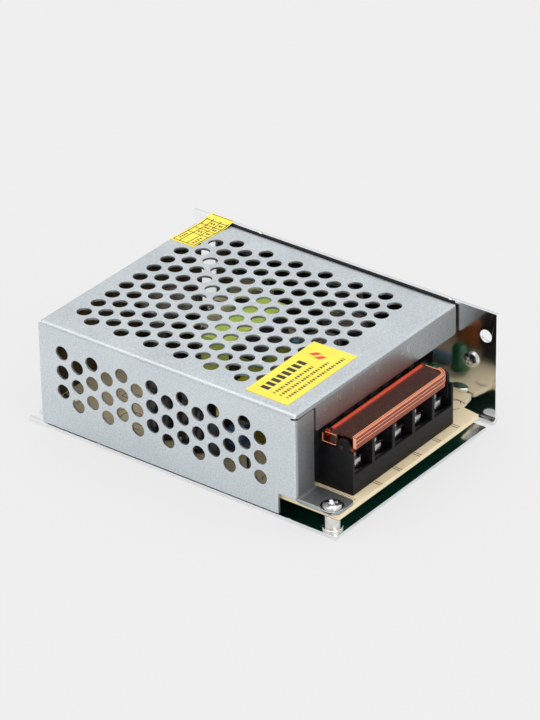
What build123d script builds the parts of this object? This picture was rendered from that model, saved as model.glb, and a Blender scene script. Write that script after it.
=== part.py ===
from build123d import *
import os

# Enclosed switching power supply, about 60 W, with a five-way screw terminal block.
# Millimetres. X runs to the terminal end, Y to the tall chassis wall, Z up.
# The origin is under the middle of the floor.
os.makedirs("parts", exist_ok=True)

LENGTH, WIDTH, HEIGHT = 110.0, 78.0, 36.0
BASE_T = 1.2                       # chassis sheet
COVER_T = 0.8                      # cover sheet
COVER_TOP = 35.0
COVER_X0, COVER_X1 = -49.6, 41.6   # far end and terminal end of the cover
BOARD_Z0, BOARD_Z1 = 5.7, 7.3
STANDOFFS = [(51.3, -35.5), (-44.0, -32.0), (-44.0, 32.0)]
VENT_R = 2.25
WALL_IN = WIDTH / 2 - BASE_T       # inner face of the tall wall
LABEL_T = 0.12

CELL_PITCH = 9.5
CELLS = [-22.0 + CELL_PITCH * i for i in range(5)]
BLOCK_Y0, BLOCK_Y1 = -26.95, 20.95
SCREW_X = 46.2
CELL_FLOOR = 12.3
CONTACT_T = 0.8
HINGE_X, HINGE_Z = 43.2, 24.0      # axis of the terminal lid, along Y
FIT = 0.05                         # radial gap of the running fits


# Chassis: an L of bright aluminium sheet, floor and tall wall, with two open
# mounting slots in the floor, a mounting hole in the wall and a half-moon tab
# pressed inwards from the wall, which holds the back edge of the board.
with BuildPart() as base_chassis:
    with BuildSketch(Plane.YZ.offset(-LENGTH / 2)):
        with BuildLine():
            Polyline(
                (-WIDTH / 2, 0), (WIDTH / 2, 0), (WIDTH / 2, HEIGHT - LABEL_T),
                (WALL_IN, HEIGHT - LABEL_T), (WALL_IN, BASE_T), (-WIDTH / 2, BASE_T),
                close=True,
            )
        make_face()
    extrude(amount=LENGTH)
    outer = base_chassis.edges().filter_by(Axis.X).group_by(Axis.Z)[0].sort_by(Axis.Y)[-1]
    fillet(outer, 1.6)
    inner = base_chassis.edges().filter_by(Axis.X).filter_by_position(
        Axis.Y, WALL_IN - 0.1, WALL_IN + 0.1).sort_by(Axis.Z)[0]
    fillet(inner, 0.4)
    # the wall starts 1 mm in from the far end of the floor
    with Locations((-LENGTH / 2, WALL_IN, BASE_T + 0.4)):
        Box(1.0, 1.2 * BASE_T + 0.5, HEIGHT, align=(Align.MIN, Align.MIN, Align.MIN),
            mode=Mode.SUBTRACT)
    # open mounting slots for 3 mm screws, one at each end
    with BuildSketch(Plane.XY):
        with Locations((50.8, 34.9), (-50.8, -36.0)):
            Circle(1.7)
        with Locations((50.8, 34.9)):
            Rectangle(6, 3.4, align=(Align.MIN, Align.CENTER))
        with Locations((-50.8, -36.0)):
            Rectangle(6, 3.4, align=(Align.MAX, Align.CENTER))
    extrude(amount=BASE_T, mode=Mode.SUBTRACT)
    # mounting hole and screw hole in the wall
    with BuildSketch(Plane.XZ.offset(-WALL_IN)):
        with Locations((51.4, 27.8)):
            Circle(2.0)
        with Locations((46.5, 18.5)):
            Circle(1.45 + FIT)
        with Locations((-24.0, 19.0), (10.0, 19.0)):
            Circle(1.45 + FIT)
    extrude(amount=-BASE_T, mode=Mode.SUBTRACT)
    # half-moon tab over the board and the hollow it leaves outside
    with BuildSketch(Plane.XY.offset(7.4)):
        with Locations((42.55, WALL_IN)):
            Ellipse(2.85, 1.7)
        with Locations((42.55, WALL_IN + 0.4)):
            Rectangle(8, 8, align=(Align.CENTER, Align.MIN), mode=Mode.SUBTRACT)
    extrude(amount=1.2)
    with Locations((42.55, WIDTH / 2, 8.0)):
        Box(5.2, 0.7, 1.0, align=(Align.CENTER, Align.MAX, Align.CENTER), mode=Mode.SUBTRACT)
base_chassis.part.label = "base_chassis"
export_step(base_chassis.part, "parts/base_chassis.step")


# Cover: one folded and perforated sheet of galvanised steel. The top and the
# long side share a bend; a flap closes the far end, a short flap hangs over
# the terminals, and a tab from the side ends in a foot screwed to the board.
with BuildPart() as perforated_cover:
    # top and side
    with BuildSketch(Plane.YZ.offset(COVER_X0)):
        with BuildLine():
            Polyline(
                (37.3, COVER_TOP), (-39.0, COVER_TOP), (-39.0, 1.6), (-39.0 + COVER_T, 1.6),
                (-39.0 + COVER_T, COVER_TOP - COVER_T), (37.3, COVER_TOP - COVER_T), close=True,
            )
        make_face()
    extrude(amount=COVER_X1 - COVER_X0)
    # flap over the terminals
    with Locations((COVER_X1, -29.7, 25.7)):
        Box(COVER_T, 66.7, COVER_TOP - 25.7, align=(Align.MAX, Align.MIN, Align.MIN))
    # tab beside the terminals
    with Locations((COVER_X1, -39.0, 7.3)):
        Box(COVER_T, 8.4, 26.2, align=(Align.MAX, Align.MIN, Align.MIN))
    # far-end flap
    with Locations((COVER_X0, -38.0, 8.5)):
        Box(COVER_T, 71.0, COVER_TOP - 8.5, align=(Align.MIN, Align.MIN, Align.MIN))
    # foot on the board, rounded outer corners
    with BuildSketch(Plane.XY.offset(BOARD_Z1)):
        with Locations((COVER_X1 - COVER_T, -38.0)):
            foot = Rectangle(14.0, 8.5, align=(Align.MIN, Align.MIN))
        fillet(foot.vertices().group_by(Axis.X)[-1], 1.6)
    extrude(amount=COVER_T)
    # lower corner of the side is cut out above the board's end
    with Locations((35.3, -39.0, 1.6)):
        Box(20, 0.9, 6.6, align=(Align.MIN, Align.MIN, Align.MIN), mode=Mode.SUBTRACT)
    # slit between the top and the tab, with its relief hole at the corner
    with Locations((COVER_X1 - 1.0, -39.0, 33.5)):
        Box(2.0, 9.3, 0.5, align=(Align.MIN, Align.MIN, Align.CENTER), mode=Mode.SUBTRACT)
    # outer bend radii
    long_bend = perforated_cover.edges().filter_by(Axis.X).filter_by_position(
        Axis.Y, -39.01, -38.99).filter_by_position(Axis.Z, COVER_TOP - 0.01, COVER_TOP + 0.01)
    fillet(long_bend, 1.1)
    end_bends = perforated_cover.edges().filter_by(Axis.Y).filter_by_position(
        Axis.Z, COVER_TOP - 0.01, COVER_TOP + 0.01)
    fillet(end_bends, 0.7)
    tab_bend = perforated_cover.edges().filter_by(Axis.Z).filter_by_position(
        Axis.Y, -39.01, -38.99).filter_by_position(Axis.X, COVER_X1 - 0.01, COVER_X1 + 0.01)
    fillet(tab_bend.sort_by(SortBy.LENGTH)[-1], 0.7)
    # rounded lower corners of the terminal flap
    flap_ends = perforated_cover.edges().filter_by(Axis.X).filter_by_position(
        Axis.Z, 25.69, 25.71).filter_by_position(Axis.X, 41.0, 41.4)
    fillet(flap_ends, 1.0)
    # hole for the foot screw
    with BuildSketch(Plane.XY.offset(BOARD_Z1)):
        with Locations(STANDOFFS[0]):
            Circle(1.7)
    extrude(amount=COVER_T, mode=Mode.SUBTRACT)
    # vents of the top: 14 columns of ten, staggered by half a pitch
    with BuildSketch(Plane.XY.offset(COVER_TOP - COVER_T)):
        for k in range(14):
            start = -27.5 if k % 2 == 0 else -30.6
            with Locations(*[(-42.1 + 5.36 * k, start + 6.35 * j) for j in range(10)]):
                RegularPolygon(VENT_R * 1.04, 8, rotation=22.5)
    extrude(amount=COVER_T, mode=Mode.SUBTRACT)
    # vents of the side: 14 columns of three
    with BuildSketch(Plane.XZ.offset(39.0)):
        for k in range(14):
            start = 14.3 if k % 2 == 0 else 11.4
            with Locations(*[(-41.3 + 5.43 * k, start + 6.3 * j) for j in range(3)]):
                RegularPolygon(VENT_R * 1.04, 8, rotation=22.5)
    extrude(amount=-COVER_T, mode=Mode.SUBTRACT)
perforated_cover.part.label = "perforated_cover"
export_step(perforated_cover.part, "parts/perforated_cover.step")


# Circuit board, 1.6 mm laminate, with a corner cut away beside the wall.
with BuildPart() as circuit_board:
    with BuildSketch(Plane.XY.offset(BOARD_Z0)):
        with BuildLine():
            Polyline(
                (-48.5, -37.5), (55.0, -37.5), (55.0, 29.3), (48.4, 30.2), (47.2, 37.4),
                (-48.5, 37.4), close=True,
            )
        outline = make_face()
        fillet(outline.vertices().sort_by_distance((47.2, 37.4))[0], 1.0)
        with Locations(*STANDOFFS):
            Circle(1.6, mode=Mode.SUBTRACT)
        with Locations(*[(42.9, y) for y in CELLS]):
            Rectangle(1.2, 1.2, mode=Mode.SUBTRACT)
    extrude(amount=BOARD_Z1 - BOARD_Z0)
circuit_board.part.label = "circuit_board"
export_step(circuit_board.part, "parts/circuit_board.step")


# Three plated standoffs pressed into the floor; the one in sight has a flange.
with BuildPart() as board_standoffs:
    with BuildSketch(Plane.XY.offset(BASE_T)):
        with Locations(STANDOFFS[0]):
            Circle(3.0)
            Circle(1.5, mode=Mode.SUBTRACT)
    extrude(amount=0.7)
    with BuildSketch(Plane.XY.offset(BASE_T)):
        with Locations(*STANDOFFS):
            Circle(2.3)
            Circle(1.5, mode=Mode.SUBTRACT)
    extrude(amount=BOARD_Z0 - BASE_T)
board_standoffs.part.label = "board_standoffs"
export_step(board_standoffs.part, "parts/board_standoffs.step")


# Two cross-recessed pan-head screws at the far end of the board.
with BuildPart() as board_screws:
    with BuildSketch(Plane.XY.offset(1.6)):
        with Locations(*STANDOFFS[1:]):
            Circle(1.45)
    extrude(amount=BOARD_Z1 - 1.6)
    with BuildSketch(Plane.XY.offset(BOARD_Z1)):
        with Locations(*STANDOFFS[1:]):
            Circle(2.8)
    extrude(amount=1.9, taper=8)
    with BuildSketch(Plane.XY.offset(BOARD_Z1 + 0.9)):
        with Locations(*STANDOFFS[1:]):
            Rectangle(3.0, 0.7)
            Rectangle(0.7, 3.0)
    extrude(amount=1.0, mode=Mode.SUBTRACT)
board_screws.part.label = "board_screws"
export_step(board_screws.part, "parts/board_screws.step")


# The foot screw: a pan head with a flange, through foot and board.
FOOT_Z = BOARD_Z1 + COVER_T
with BuildPart() as cover_screw:
    with BuildSketch(Plane.XY.offset(1.6)):
        with Locations(STANDOFFS[0]):
            Circle(1.45)
    extrude(amount=FOOT_Z - 1.6)
    with BuildSketch(Plane.XY.offset(FOOT_Z)):
        with Locations(STANDOFFS[0]):
            Circle(3.5)
    extrude(amount=0.35)
    with BuildSketch(Plane.XY.offset(FOOT_Z + 0.35)):
        with Locations(STANDOFFS[0]):
            Circle(2.9)
    extrude(amount=1.45, taper=12)
    with BuildSketch(Plane.XY.offset(FOOT_Z + 0.8)):
        with Locations(STANDOFFS[0]):
            Rectangle(3.2, 0.7)
            Rectangle(0.7, 3.2)
    extrude(amount=1.0, mode=Mode.SUBTRACT)
cover_screw.part.label = "cover_screw"
export_step(cover_screw.part, "parts/cover_screw.step")


# Bright screw in the wall, head on the inner face.
with BuildPart() as wall_screw:
    with BuildSketch(Plane.XZ.offset(-WALL_IN)):
        with Locations((46.5, 18.5)):
            Circle(2.55)
    extrude(amount=1.8, taper=12)
    with BuildSketch(Plane.XZ.offset(-WALL_IN)):
        with Locations((46.5, 18.5)):
            Circle(1.45)
    extrude(amount=-BASE_T)
    with BuildSketch(Plane.XZ.offset(-(WALL_IN - 0.9))):
        with Locations((46.5, 18.5)):
            Rectangle(2.8, 0.6)
            Rectangle(0.6, 2.8)
    extrude(amount=1.0, mode=Mode.SUBTRACT)
wall_screw.part.label = "wall_screw"
export_step(wall_screw.part, "parts/wall_screw.step")


# Terminal block: five cells between partitions, a low front wall where the
# wires enter, two rounded end posts, hinge ears for the lid and a row of teeth
# along the rear wall.
EAR_Y = [(-25.85, -24.65), (18.65, 19.85)]
with BuildPart() as terminal_block:
    with Locations((38.0, BLOCK_Y0, BOARD_Z1)):
        Box(14.1, BLOCK_Y1 - BLOCK_Y0, CELL_FLOOR - BOARD_Z1,
            align=(Align.MIN, Align.MIN, Align.MIN))
    # rear wall and low front wall
    with Locations((38.0, BLOCK_Y0, CELL_FLOOR)):
        Box(3.5, BLOCK_Y1 - BLOCK_Y0, 22.5 - CELL_FLOOR, align=(Align.MIN, Align.MIN, Align.MIN))
    with Locations((50.9, BLOCK_Y0, CELL_FLOOR)):
        Box(1.2, BLOCK_Y1 - BLOCK_Y0, 13.6 - CELL_FLOOR, align=(Align.MIN, Align.MIN, Align.MIN))
    # partitions and end walls
    with Locations(*[(38.0, y + CELL_PITCH / 2, CELL_FLOOR) for y in CELLS[:-1]]):
        Box(14.1, 1.3, 21.4 - CELL_FLOOR, align=(Align.MIN, Align.CENTER, Align.MIN))
    with Locations((38.0, BLOCK_Y0, CELL_FLOOR), (38.0, BLOCK_Y1 - 0.85, CELL_FLOOR)):
        Box(14.1, 0.85, 20.8 - CELL_FLOOR, align=(Align.MIN, Align.MIN, Align.MIN))
    # end posts with rounded tops
    with BuildSketch(Plane.XZ.offset(-BLOCK_Y0)):
        with Locations((48.625, 16.0)):
            post = Rectangle(4.45, 8.2, align=(Align.CENTER, Align.MIN))
        fillet(post.vertices().group_by(Axis.Y)[-1], 2.0)
        with Locations((48.0, 21.65)):
            Circle(0.65, mode=Mode.SUBTRACT)
    extrude(amount=-1.2)
    with BuildSketch(Plane.XZ.offset(-BLOCK_Y1)):
        with Locations((48.625, 16.0)):
            post = Rectangle(4.45, 8.2, align=(Align.CENTER, Align.MIN))
        fillet(post.vertices().group_by(Axis.Y)[-1], 2.0)
        with Locations((48.0, 21.65)):
            Circle(0.65, mode=Mode.SUBTRACT)
    extrude(amount=1.2)
    # hinge ears with their pin holes
    for y0, y1 in EAR_Y:
        with BuildSketch(Plane.XZ.offset(-y0)):
            with Locations((HINGE_X, HINGE_Z)):
                Circle(1.3)
            with Locations((41.0, 20.4)):
                Rectangle(HINGE_X + 1.3 - 41.0, 2.0, align=(Align.MIN, Align.MIN))
            with Locations((HINGE_X, 22.0)):
                Rectangle(2.6, 2.0, align=(Align.CENTER, Align.MIN))
            with Locations((HINGE_X, HINGE_Z)):
                Circle(0.8 + FIT, mode=Mode.SUBTRACT)
        extrude(amount=-(y1 - y0))
    # teeth along the rear wall
    with Locations(*[(40.4, y, 22.5) for y in (-21.8, -15.4, -9.2, -3.1, 2.8, 8.9, 15.0)]):
        Box(1.1, 2.6, 2.4, align=(Align.MIN, Align.CENTER, Align.MIN))
    # room for the screw ends, and the slots of the solder pins
    with BuildSketch(Plane.XY.offset(8.3)):
        with Locations(*[(SCREW_X, y) for y in CELLS]):
            Circle(1.8)
    extrude(amount=CELL_FLOOR - 8.3, mode=Mode.SUBTRACT)
    with BuildSketch(Plane.XY.offset(BOARD_Z1)):
        with Locations(*[(42.9, y) for y in CELLS]):
            Rectangle(1.2, 1.2)
    extrude(amount=CELL_FLOOR - BOARD_Z1, mode=Mode.SUBTRACT)
terminal_block.part.label = "terminal_block"
export_step(terminal_block.part, "parts/terminal_block.step")


# Terminal lid: clear orange plastic, hinged along its rear bead, with a front
# lip, two end cheeks and a pin at each end that turns in an ear of the block.
with BuildPart() as terminal_lid:
    with Locations((HINGE_X, BLOCK_Y0, 24.4)):
        Box(9.2, BLOCK_Y1 - BLOCK_Y0, 1.0, align=(Align.MIN, Align.MIN, Align.MIN))
    # front lip with a rounded corner at each end
    with BuildSketch(Plane.YZ.offset(51.2)):
        with Locations((BLOCK_Y0, 21.6)):
            lip = Rectangle(BLOCK_Y1 - BLOCK_Y0, 3.8, align=(Align.MIN, Align.MIN))
        fillet(lip.vertices().group_by(Axis.Y)[0], 1.2)
    extrude(amount=1.2)
    # rear bead on the hinge axis
    with BuildSketch(Plane.XZ.offset(-BLOCK_Y0)):
        with Locations((HINGE_X, HINGE_Z)):
            Circle(1.2)
    extrude(amount=-(BLOCK_Y1 - BLOCK_Y0))
    # end cheeks
    for y0 in (BLOCK_Y0, BLOCK_Y1 - 1.0):
        with BuildSketch(Plane.XZ.offset(-y0)):
            with Locations((HINGE_X, HINGE_Z)):
                Circle(1.5)
            with Locations((HINGE_X - 1.5, 21.5)):
                Rectangle(3.1, 2.5, align=(Align.MIN, Align.MIN))
        extrude(amount=-1.0)
    # notches round the ears, then the pins that cross them
    for y0, y1 in EAR_Y:
        with BuildSketch(Plane.XZ.offset(-(y0 - 0.1))):
            with Locations((HINGE_X, HINGE_Z)):
                Circle(1.5)
        extrude(amount=-(y1 - y0 + 0.2), mode=Mode.SUBTRACT)
        with BuildSketch(Plane.XZ.offset(-(y0 - 0.2))):
            with Locations((HINGE_X, HINGE_Z)):
                Circle(0.8)
        extrude(amount=-(y1 - y0 + 0.4))
terminal_lid.part.label = "terminal_lid"
export_step(terminal_lid.part, "parts/terminal_lid.step")


# In every cell: a contact plate with its solder pin, a clamp plate with a
# tongue down to the contact, and the clamp screw.
for i, y in enumerate(CELLS):
    with BuildPart() as contact:
        with BuildSketch(Plane.XY.offset(CELL_FLOOR)):
            with Locations((46.35, y)):
                Rectangle(8.3, 7.0)
            with Locations((SCREW_X, y)):
                Circle(1.45 + FIT, mode=Mode.SUBTRACT)
        extrude(amount=CONTACT_T)
        with Locations((42.9, y, 4.6)):
            Box(1.0, 1.0, CELL_FLOOR - 4.6, align=(Align.CENTER, Align.CENTER, Align.MIN))
    contact.part.label = f"terminal_contact_{i + 1}"
    export_step(contact.part, f"parts/terminal_contact_{i + 1}.step")

    with BuildPart() as clamp:
        with BuildSketch(Plane.XY.offset(15.7)):
            with Locations((46.15, y)):
                Rectangle(6.9, 7.0)
            with Locations((SCREW_X, y)):
                Circle(1.45 + FIT, mode=Mode.SUBTRACT)
        extrude(amount=0.8)
        with Locations((49.4, y, 13.2)):
            Box(0.8, 3.0, 3.3, align=(Align.MIN, Align.CENTER, Align.MIN))
    clamp.part.label = f"terminal_clamp_{i + 1}"
    export_step(clamp.part, f"parts/terminal_clamp_{i + 1}.step")

    with BuildPart() as screw:
        with BuildSketch(Plane.XY.offset(9.5)):
            with Locations((SCREW_X, y)):
                Circle(1.45)
        extrude(amount=7.0)
        with BuildSketch(Plane.XY.offset(16.5)):
            with Locations((SCREW_X, y)):
                Circle(3.1)
        extrude(amount=2.5, taper=8)
        with BuildSketch(Plane.XY.offset(17.7)):
            with Locations((SCREW_X, y)):
                Rectangle(3.6, 0.8)
                Rectangle(0.8, 3.6)
        extrude(amount=1.4, mode=Mode.SUBTRACT)
    screw.part.label = f"terminal_screw_{i + 1}"
    export_step(screw.part, f"parts/terminal_screw_{i + 1}.step")


# Transformer: ferrite core with upright legs, bobbin with two pin rails, the
# taped winding, and a band of tape round the core.
TX, TY = -6.0, 2.0
CORE_Z0, CORE_Z1 = 9.0, 30.2
with BuildPart() as transformer_core:
    with BuildSketch(Plane.XZ.offset(-(TY - 5.0))):
        with Locations((TX, CORE_Z0)):
            Rectangle(27.4, CORE_Z1 - CORE_Z0, align=(Align.CENTER, Align.MIN))
        for side in (-1, 1):
            with Locations((TX + side * 6.6, (CORE_Z0 + CORE_Z1) / 2)):
                Rectangle(5.2, 11.4, mode=Mode.SUBTRACT)
    extrude(amount=-10.0)
transformer_core.part.label = "transformer_core"
export_step(transformer_core.part, "parts/transformer_core.step")

with BuildPart() as transformer_bobbin:
    with BuildSketch(Plane.XY.offset(14.0)):
        with Locations((TX, TY)):
            Rectangle(18.2, 23.0)
            Rectangle(8.2, 10.2, mode=Mode.SUBTRACT)
    extrude(amount=0.8)
    with BuildSketch(Plane.XY.offset(24.4)):
        with Locations((TX, TY)):
            Rectangle(18.2, 23.0)
            Rectangle(8.2, 10.2, mode=Mode.SUBTRACT)
    extrude(amount=0.8)
    with BuildSketch(Plane.XY.offset(14.8)):
        with Locations((TX, TY)):
            Rectangle(9.6, 11.6)
            Rectangle(8.2, 10.2, mode=Mode.SUBTRACT)
    extrude(amount=9.6)
    with Locations((TX, TY - 9.0, BOARD_Z1), (TX, TY + 9.0, BOARD_Z1)):
        Box(24.0, 5.0, 7.0, align=(Align.CENTER, Align.CENTER, Align.MIN))
transformer_bobbin.part.label = "transformer_bobbin"
export_step(transformer_bobbin.part, "parts/transformer_bobbin.step")

with BuildPart() as transformer_winding:
    with BuildSketch(Plane.XY.offset(14.9)):
        with Locations((TX, TY)):
            outer_turns = Rectangle(17.8, 22.0)
            fillet(outer_turns.vertices(), 4.0)
            Rectangle(9.8, 11.8, mode=Mode.SUBTRACT)
    extrude(amount=9.4)
transformer_winding.part.label = "transformer_winding"
export_step(transformer_winding.part, "parts/transformer_winding.step")

with BuildPart() as transformer_tape:
    with BuildSketch(Plane.XZ.offset(-(TY - 4.6))):
        with Locations((TX, CORE_Z0 - 0.3)):
            Rectangle(28.0, CORE_Z1 - CORE_Z0 + 0.6, align=(Align.CENTER, Align.MIN))
        with Locations((TX, CORE_Z0)):
            Rectangle(27.4, CORE_Z1 - CORE_Z0, align=(Align.CENTER, Align.MIN),
                      mode=Mode.SUBTRACT)
    extrude(amount=-9.2)
transformer_tape.part.label = "transformer_tape"
export_step(transformer_tape.part, "parts/transformer_tape.step")


# Upright electrolytic capacitors: name, centre, radius, top.
CAPACITORS = [
    ("mains_capacitor", -31.0, -3.0, 9.0, 31.0),
    ("output_capacitor_1", 15.6, 7.4, 6.25, 28.5),
    ("output_capacitor_2", 15.6, 21.2, 6.25, 28.5),
    ("supply_capacitor_1", -11.0, -30.5, 5.0, 24.0),
    ("supply_capacitor_2", 1.0, -30.5, 5.0, 24.0),
]
for name, x, y, radius, top in CAPACITORS:
    with BuildPart() as capacitor:
        with BuildSketch(Plane.XY.offset(BOARD_Z1)):
            with Locations((x, y)):
                Circle(radius)
        extrude(amount=top - BOARD_Z1)
    capacitor.part.label = name
    export_step(capacitor.part, f"parts/{name}.step")


# Boxed suppression capacitor across the mains.
with BuildPart() as x_capacitor:
    with Locations((12.0, -16.0, BOARD_Z1)):
        Box(18.0, 9.0, 15.0, align=(Align.CENTER, Align.CENTER, Align.MIN))
x_capacitor.part.label = "x_capacitor"
export_step(x_capacitor.part, "parts/x_capacitor.step")


# Mains choke and output choke: a flat ring core under its winding. The mains
# choke has two separate windings, the output choke has one.
def ring_core(x, y, r_in, r_out, z0, z1):
    with BuildPart() as ring:
        with BuildSketch(Plane.XY.offset(z0)):
            with Locations((x, y)):
                Circle(r_out)
                Circle(r_in, mode=Mode.SUBTRACT)
        extrude(amount=z1 - z0)
    return ring.part


def ring_winding(x, y, r_in, r_out, z0, z1, wire, start, sweep):
    centre = Plane((x, y, 0), x_dir=(1, 0, 0), z_dir=(0, -1, 0)).rotated((0, 0, start))
    with BuildPart() as turns:
        with BuildSketch(centre):
            with Locations(((r_in + r_out) / 2, (z0 + z1) / 2)):
                Rectangle(r_out - r_in + 2 * wire, z1 - z0 + 2 * wire)
                Rectangle(r_out - r_in, z1 - z0, mode=Mode.SUBTRACT)
        revolve(axis=Axis((x, y, 0), (0, 0, 1)), revolution_arc=sweep)
    return turns.part


choke_core = ring_core(29.5, -12.0, 4.0, 6.6, 8.4, 14.4)
choke_core.label = "choke_core"
export_step(choke_core, "parts/choke_core.step")
for i, start in enumerate((20.0, 200.0)):
    choke_winding = ring_winding(29.5, -12.0, 4.0, 6.6, 8.4, 14.4, 0.9, start, 140.0)
    choke_winding.label = f"choke_winding_{i + 1}"
    export_step(choke_winding, f"parts/choke_winding_{i + 1}.step")
output_choke_core = ring_core(29.8, 10.0, 3.2, 6.0, 8.4, 14.4)
output_choke_core.label = "output_choke_core"
export_step(output_choke_core, "parts/output_choke_core.step")
output_choke_winding = ring_winding(29.8, 10.0, 3.2, 6.0, 8.4, 14.4, 0.8, 0.0, 300.0)
output_choke_winding.label = "output_choke_winding"
export_step(output_choke_winding, "parts/output_choke_winding.step")


# Fuse: a tube between two caps, lying along X behind the terminals.
with BuildPart() as fuse:
    with BuildSketch(Plane.YZ.offset(24.0)):
        with Locations((-24.0, 9.6)):
            Circle(1.9)
    extrude(amount=12.0)
    with BuildSketch(Plane.YZ.offset(24.0)):
        with Locations((-24.0, 9.6)):
            Circle(2.2)
    extrude(amount=2.6)
    with BuildSketch(Plane.YZ.offset(33.4)):
        with Locations((-24.0, 9.6)):
            Circle(2.2)
    extrude(amount=2.6)
fuse.part.label = "fuse"
export_step(fuse.part, "parts/fuse.step")


# Disc parts stand on two wires: name, centre, radius, thickness, centre height.
DISCS = [
    ("inrush_thermistor", 24.0, -1.8, 4.5, 2.8, 13.4),
    ("y_capacitor", 17.0, -32.0, 4.0, 3.2, 17.0),
]
for name, x, y, radius, thick, mid in DISCS:
    with BuildPart() as disc:
        with BuildSketch(Plane.XZ.offset(-(y - thick / 2))):
            with Locations((x, mid)):
                Circle(radius)
        extrude(amount=-thick)
        with Locations((x - 2.5, y, 5.2), (x + 2.5, y, 5.2)):
            Box(0.6, 0.6, mid - 5.2, align=(Align.CENTER, Align.CENTER, Align.MIN))
        with Locations((x, y, BOARD_Z0 - 1.0)):
            Box(9, 2, BOARD_Z1 - BOARD_Z0 + 1.0, align=(Align.CENTER, Align.CENTER, Align.MIN),
                mode=Mode.SUBTRACT)
    disc.part.label = name
    export_step(disc.part, f"parts/{name}.step")


# Bridge rectifier: a flat upright package on four legs.
with BuildPart() as bridge_rectifier:
    with Locations((10.5, -29.0, 9.5)):
        Box(3.4, 13.0, 11.0, align=(Align.CENTER, Align.CENTER, Align.MIN))
    with Locations(*[(10.5, -29.0 + d, BOARD_Z1) for d in (-5.4, -1.8, 1.8, 5.4)]):
        Box(0.5, 0.9, 2.2, align=(Align.CENTER, Align.CENTER, Align.MIN))
bridge_rectifier.part.label = "bridge_rectifier"
export_step(bridge_rectifier.part, "parts/bridge_rectifier.step")


# Two power packages pressed against the wall by clamp bars, each on a thin
# insulating pad, with a screw from the bar into the wall.
POWER = [("power_transistor", -32.0, -24.0), ("output_rectifier", 2.0, 10.0)]
for name, x, screw_x in POWER:
    with BuildPart() as package:
        with Locations((x, WALL_IN - 0.2, 12.0)):
            Box(10.0, 1.3, 15.0, align=(Align.CENTER, Align.MAX, Align.MIN))
            Box(10.0, 4.4, 9.0, align=(Align.CENTER, Align.MAX, Align.MIN))
        with Locations(*[(x + d, WALL_IN - 2.6, BOARD_Z1) for d in (-2.54, 0, 2.54)]):
            Box(0.9, 0.6, 12.0 - BOARD_Z1, align=(Align.CENTER, Align.CENTER, Align.MIN))
    package.part.label = name
    export_step(package.part, f"parts/{name}.step")
    with BuildPart() as pad:
        with Locations((x, WALL_IN, 10.5)):
            Box(12.6, 0.2, 18.0, align=(Align.CENTER, Align.MAX, Align.MIN))
    pad.part.label = f"{name}_pad"
    export_step(pad.part, f"parts/{name}_pad.step")
    # the bar crosses the package and turns back to the wall at its far end
    face = WALL_IN - 4.6
    with BuildPart() as clamp_bar:
        with Locations((x - 4.0, face, 15.5)):
            Box(screw_x + 4.0 - (x - 4.0), 1.2, 7.0, align=(Align.MIN, Align.MAX, Align.MIN))
        with Locations((screw_x + 4.0, face, 15.5)):
            Box(1.2, WALL_IN - face, 7.0, align=(Align.MAX, Align.MIN, Align.MIN))
        with BuildSketch(Plane.XZ.offset(-(face - 1.2))):
            with Locations((screw_x, 19.0)):
                Circle(1.6)
        extrude(amount=-1.2, mode=Mode.SUBTRACT)
    clamp_bar.part.label = f"{name}_clamp"
    export_step(clamp_bar.part, f"parts/{name}_clamp.step")
    with BuildPart() as clamp_screw:
        with BuildSketch(Plane.XZ.offset(-(face - 1.2))):
            with Locations((screw_x, 19.0)):
                RegularPolygon(2.75, 6, major_radius=False)
        extrude(amount=1.9)
        with BuildSketch(Plane.XZ.offset(-(face - 1.2))):
            with Locations((screw_x, 19.0)):
                Circle(1.45)
        extrude(amount=-(WIDTH / 2 - face + 1.2))
    clamp_screw.part.label = f"{name}_screw"
    export_step(clamp_screw.part, f"parts/{name}_screw.step")


# Green indicator lamp on two legs, in the corner beside the wall.
with BuildPart() as indicator_led:
    with BuildSketch(Plane.XY.offset(11.0)):
        with Locations((38.0, 28.8)):
            Circle(2.9)
    extrude(amount=0.8)
    with BuildSketch(Plane.XY.offset(11.8)):
        with Locations((38.0, 28.8)):
            Circle(2.5)
    extrude(amount=5.6)
    with BuildSketch(Plane.XY.offset(17.4)):
        with Locations((38.0, 28.8)):
            Circle(2.5)
    extrude(amount=1.3, taper=28)
    with BuildSketch(Plane.XY.offset(18.7)):
        with Locations((38.0, 28.8)):
            Circle(1.8)
    extrude(amount=0.8, taper=55)
    with Locations((36.73, 28.8, BOARD_Z1), (39.27, 28.8, BOARD_Z1)):
        Box(0.5, 0.5, 3.8, align=(Align.CENTER, Align.CENTER, Align.MIN))
indicator_led.part.label = "indicator_led"
export_step(indicator_led.part, "parts/indicator_led.step")


# Control chip and optocoupler in moulded packages on short legs: name, centre,
# length, width, pins a side.
CHIPS = [
    ("control_chip", -31.0, 15.0, 9.4, 6.2, 4),
    ("optocoupler", -8.0, 22.5, 4.6, 6.2, 2),
]
for name, x, y, length, width, pins in CHIPS:
    with BuildPart() as chip:
        with Locations((x, y, BOARD_Z1 + 0.5)):
            Box(length, width, 3.3, align=(Align.CENTER, Align.CENTER, Align.MIN))
        with Locations(*[
            (x + 2.54 * (k - (pins - 1) / 2), y + side * (width / 2 + 0.35), BOARD_Z1)
            for k in range(pins) for side in (-1, 1)
        ]):
            Box(0.6, 0.9, 2.2, align=(Align.CENTER, Align.CENTER, Align.MIN))
    chip.part.label = name
    export_step(chip.part, f"parts/{name}.step")


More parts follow.
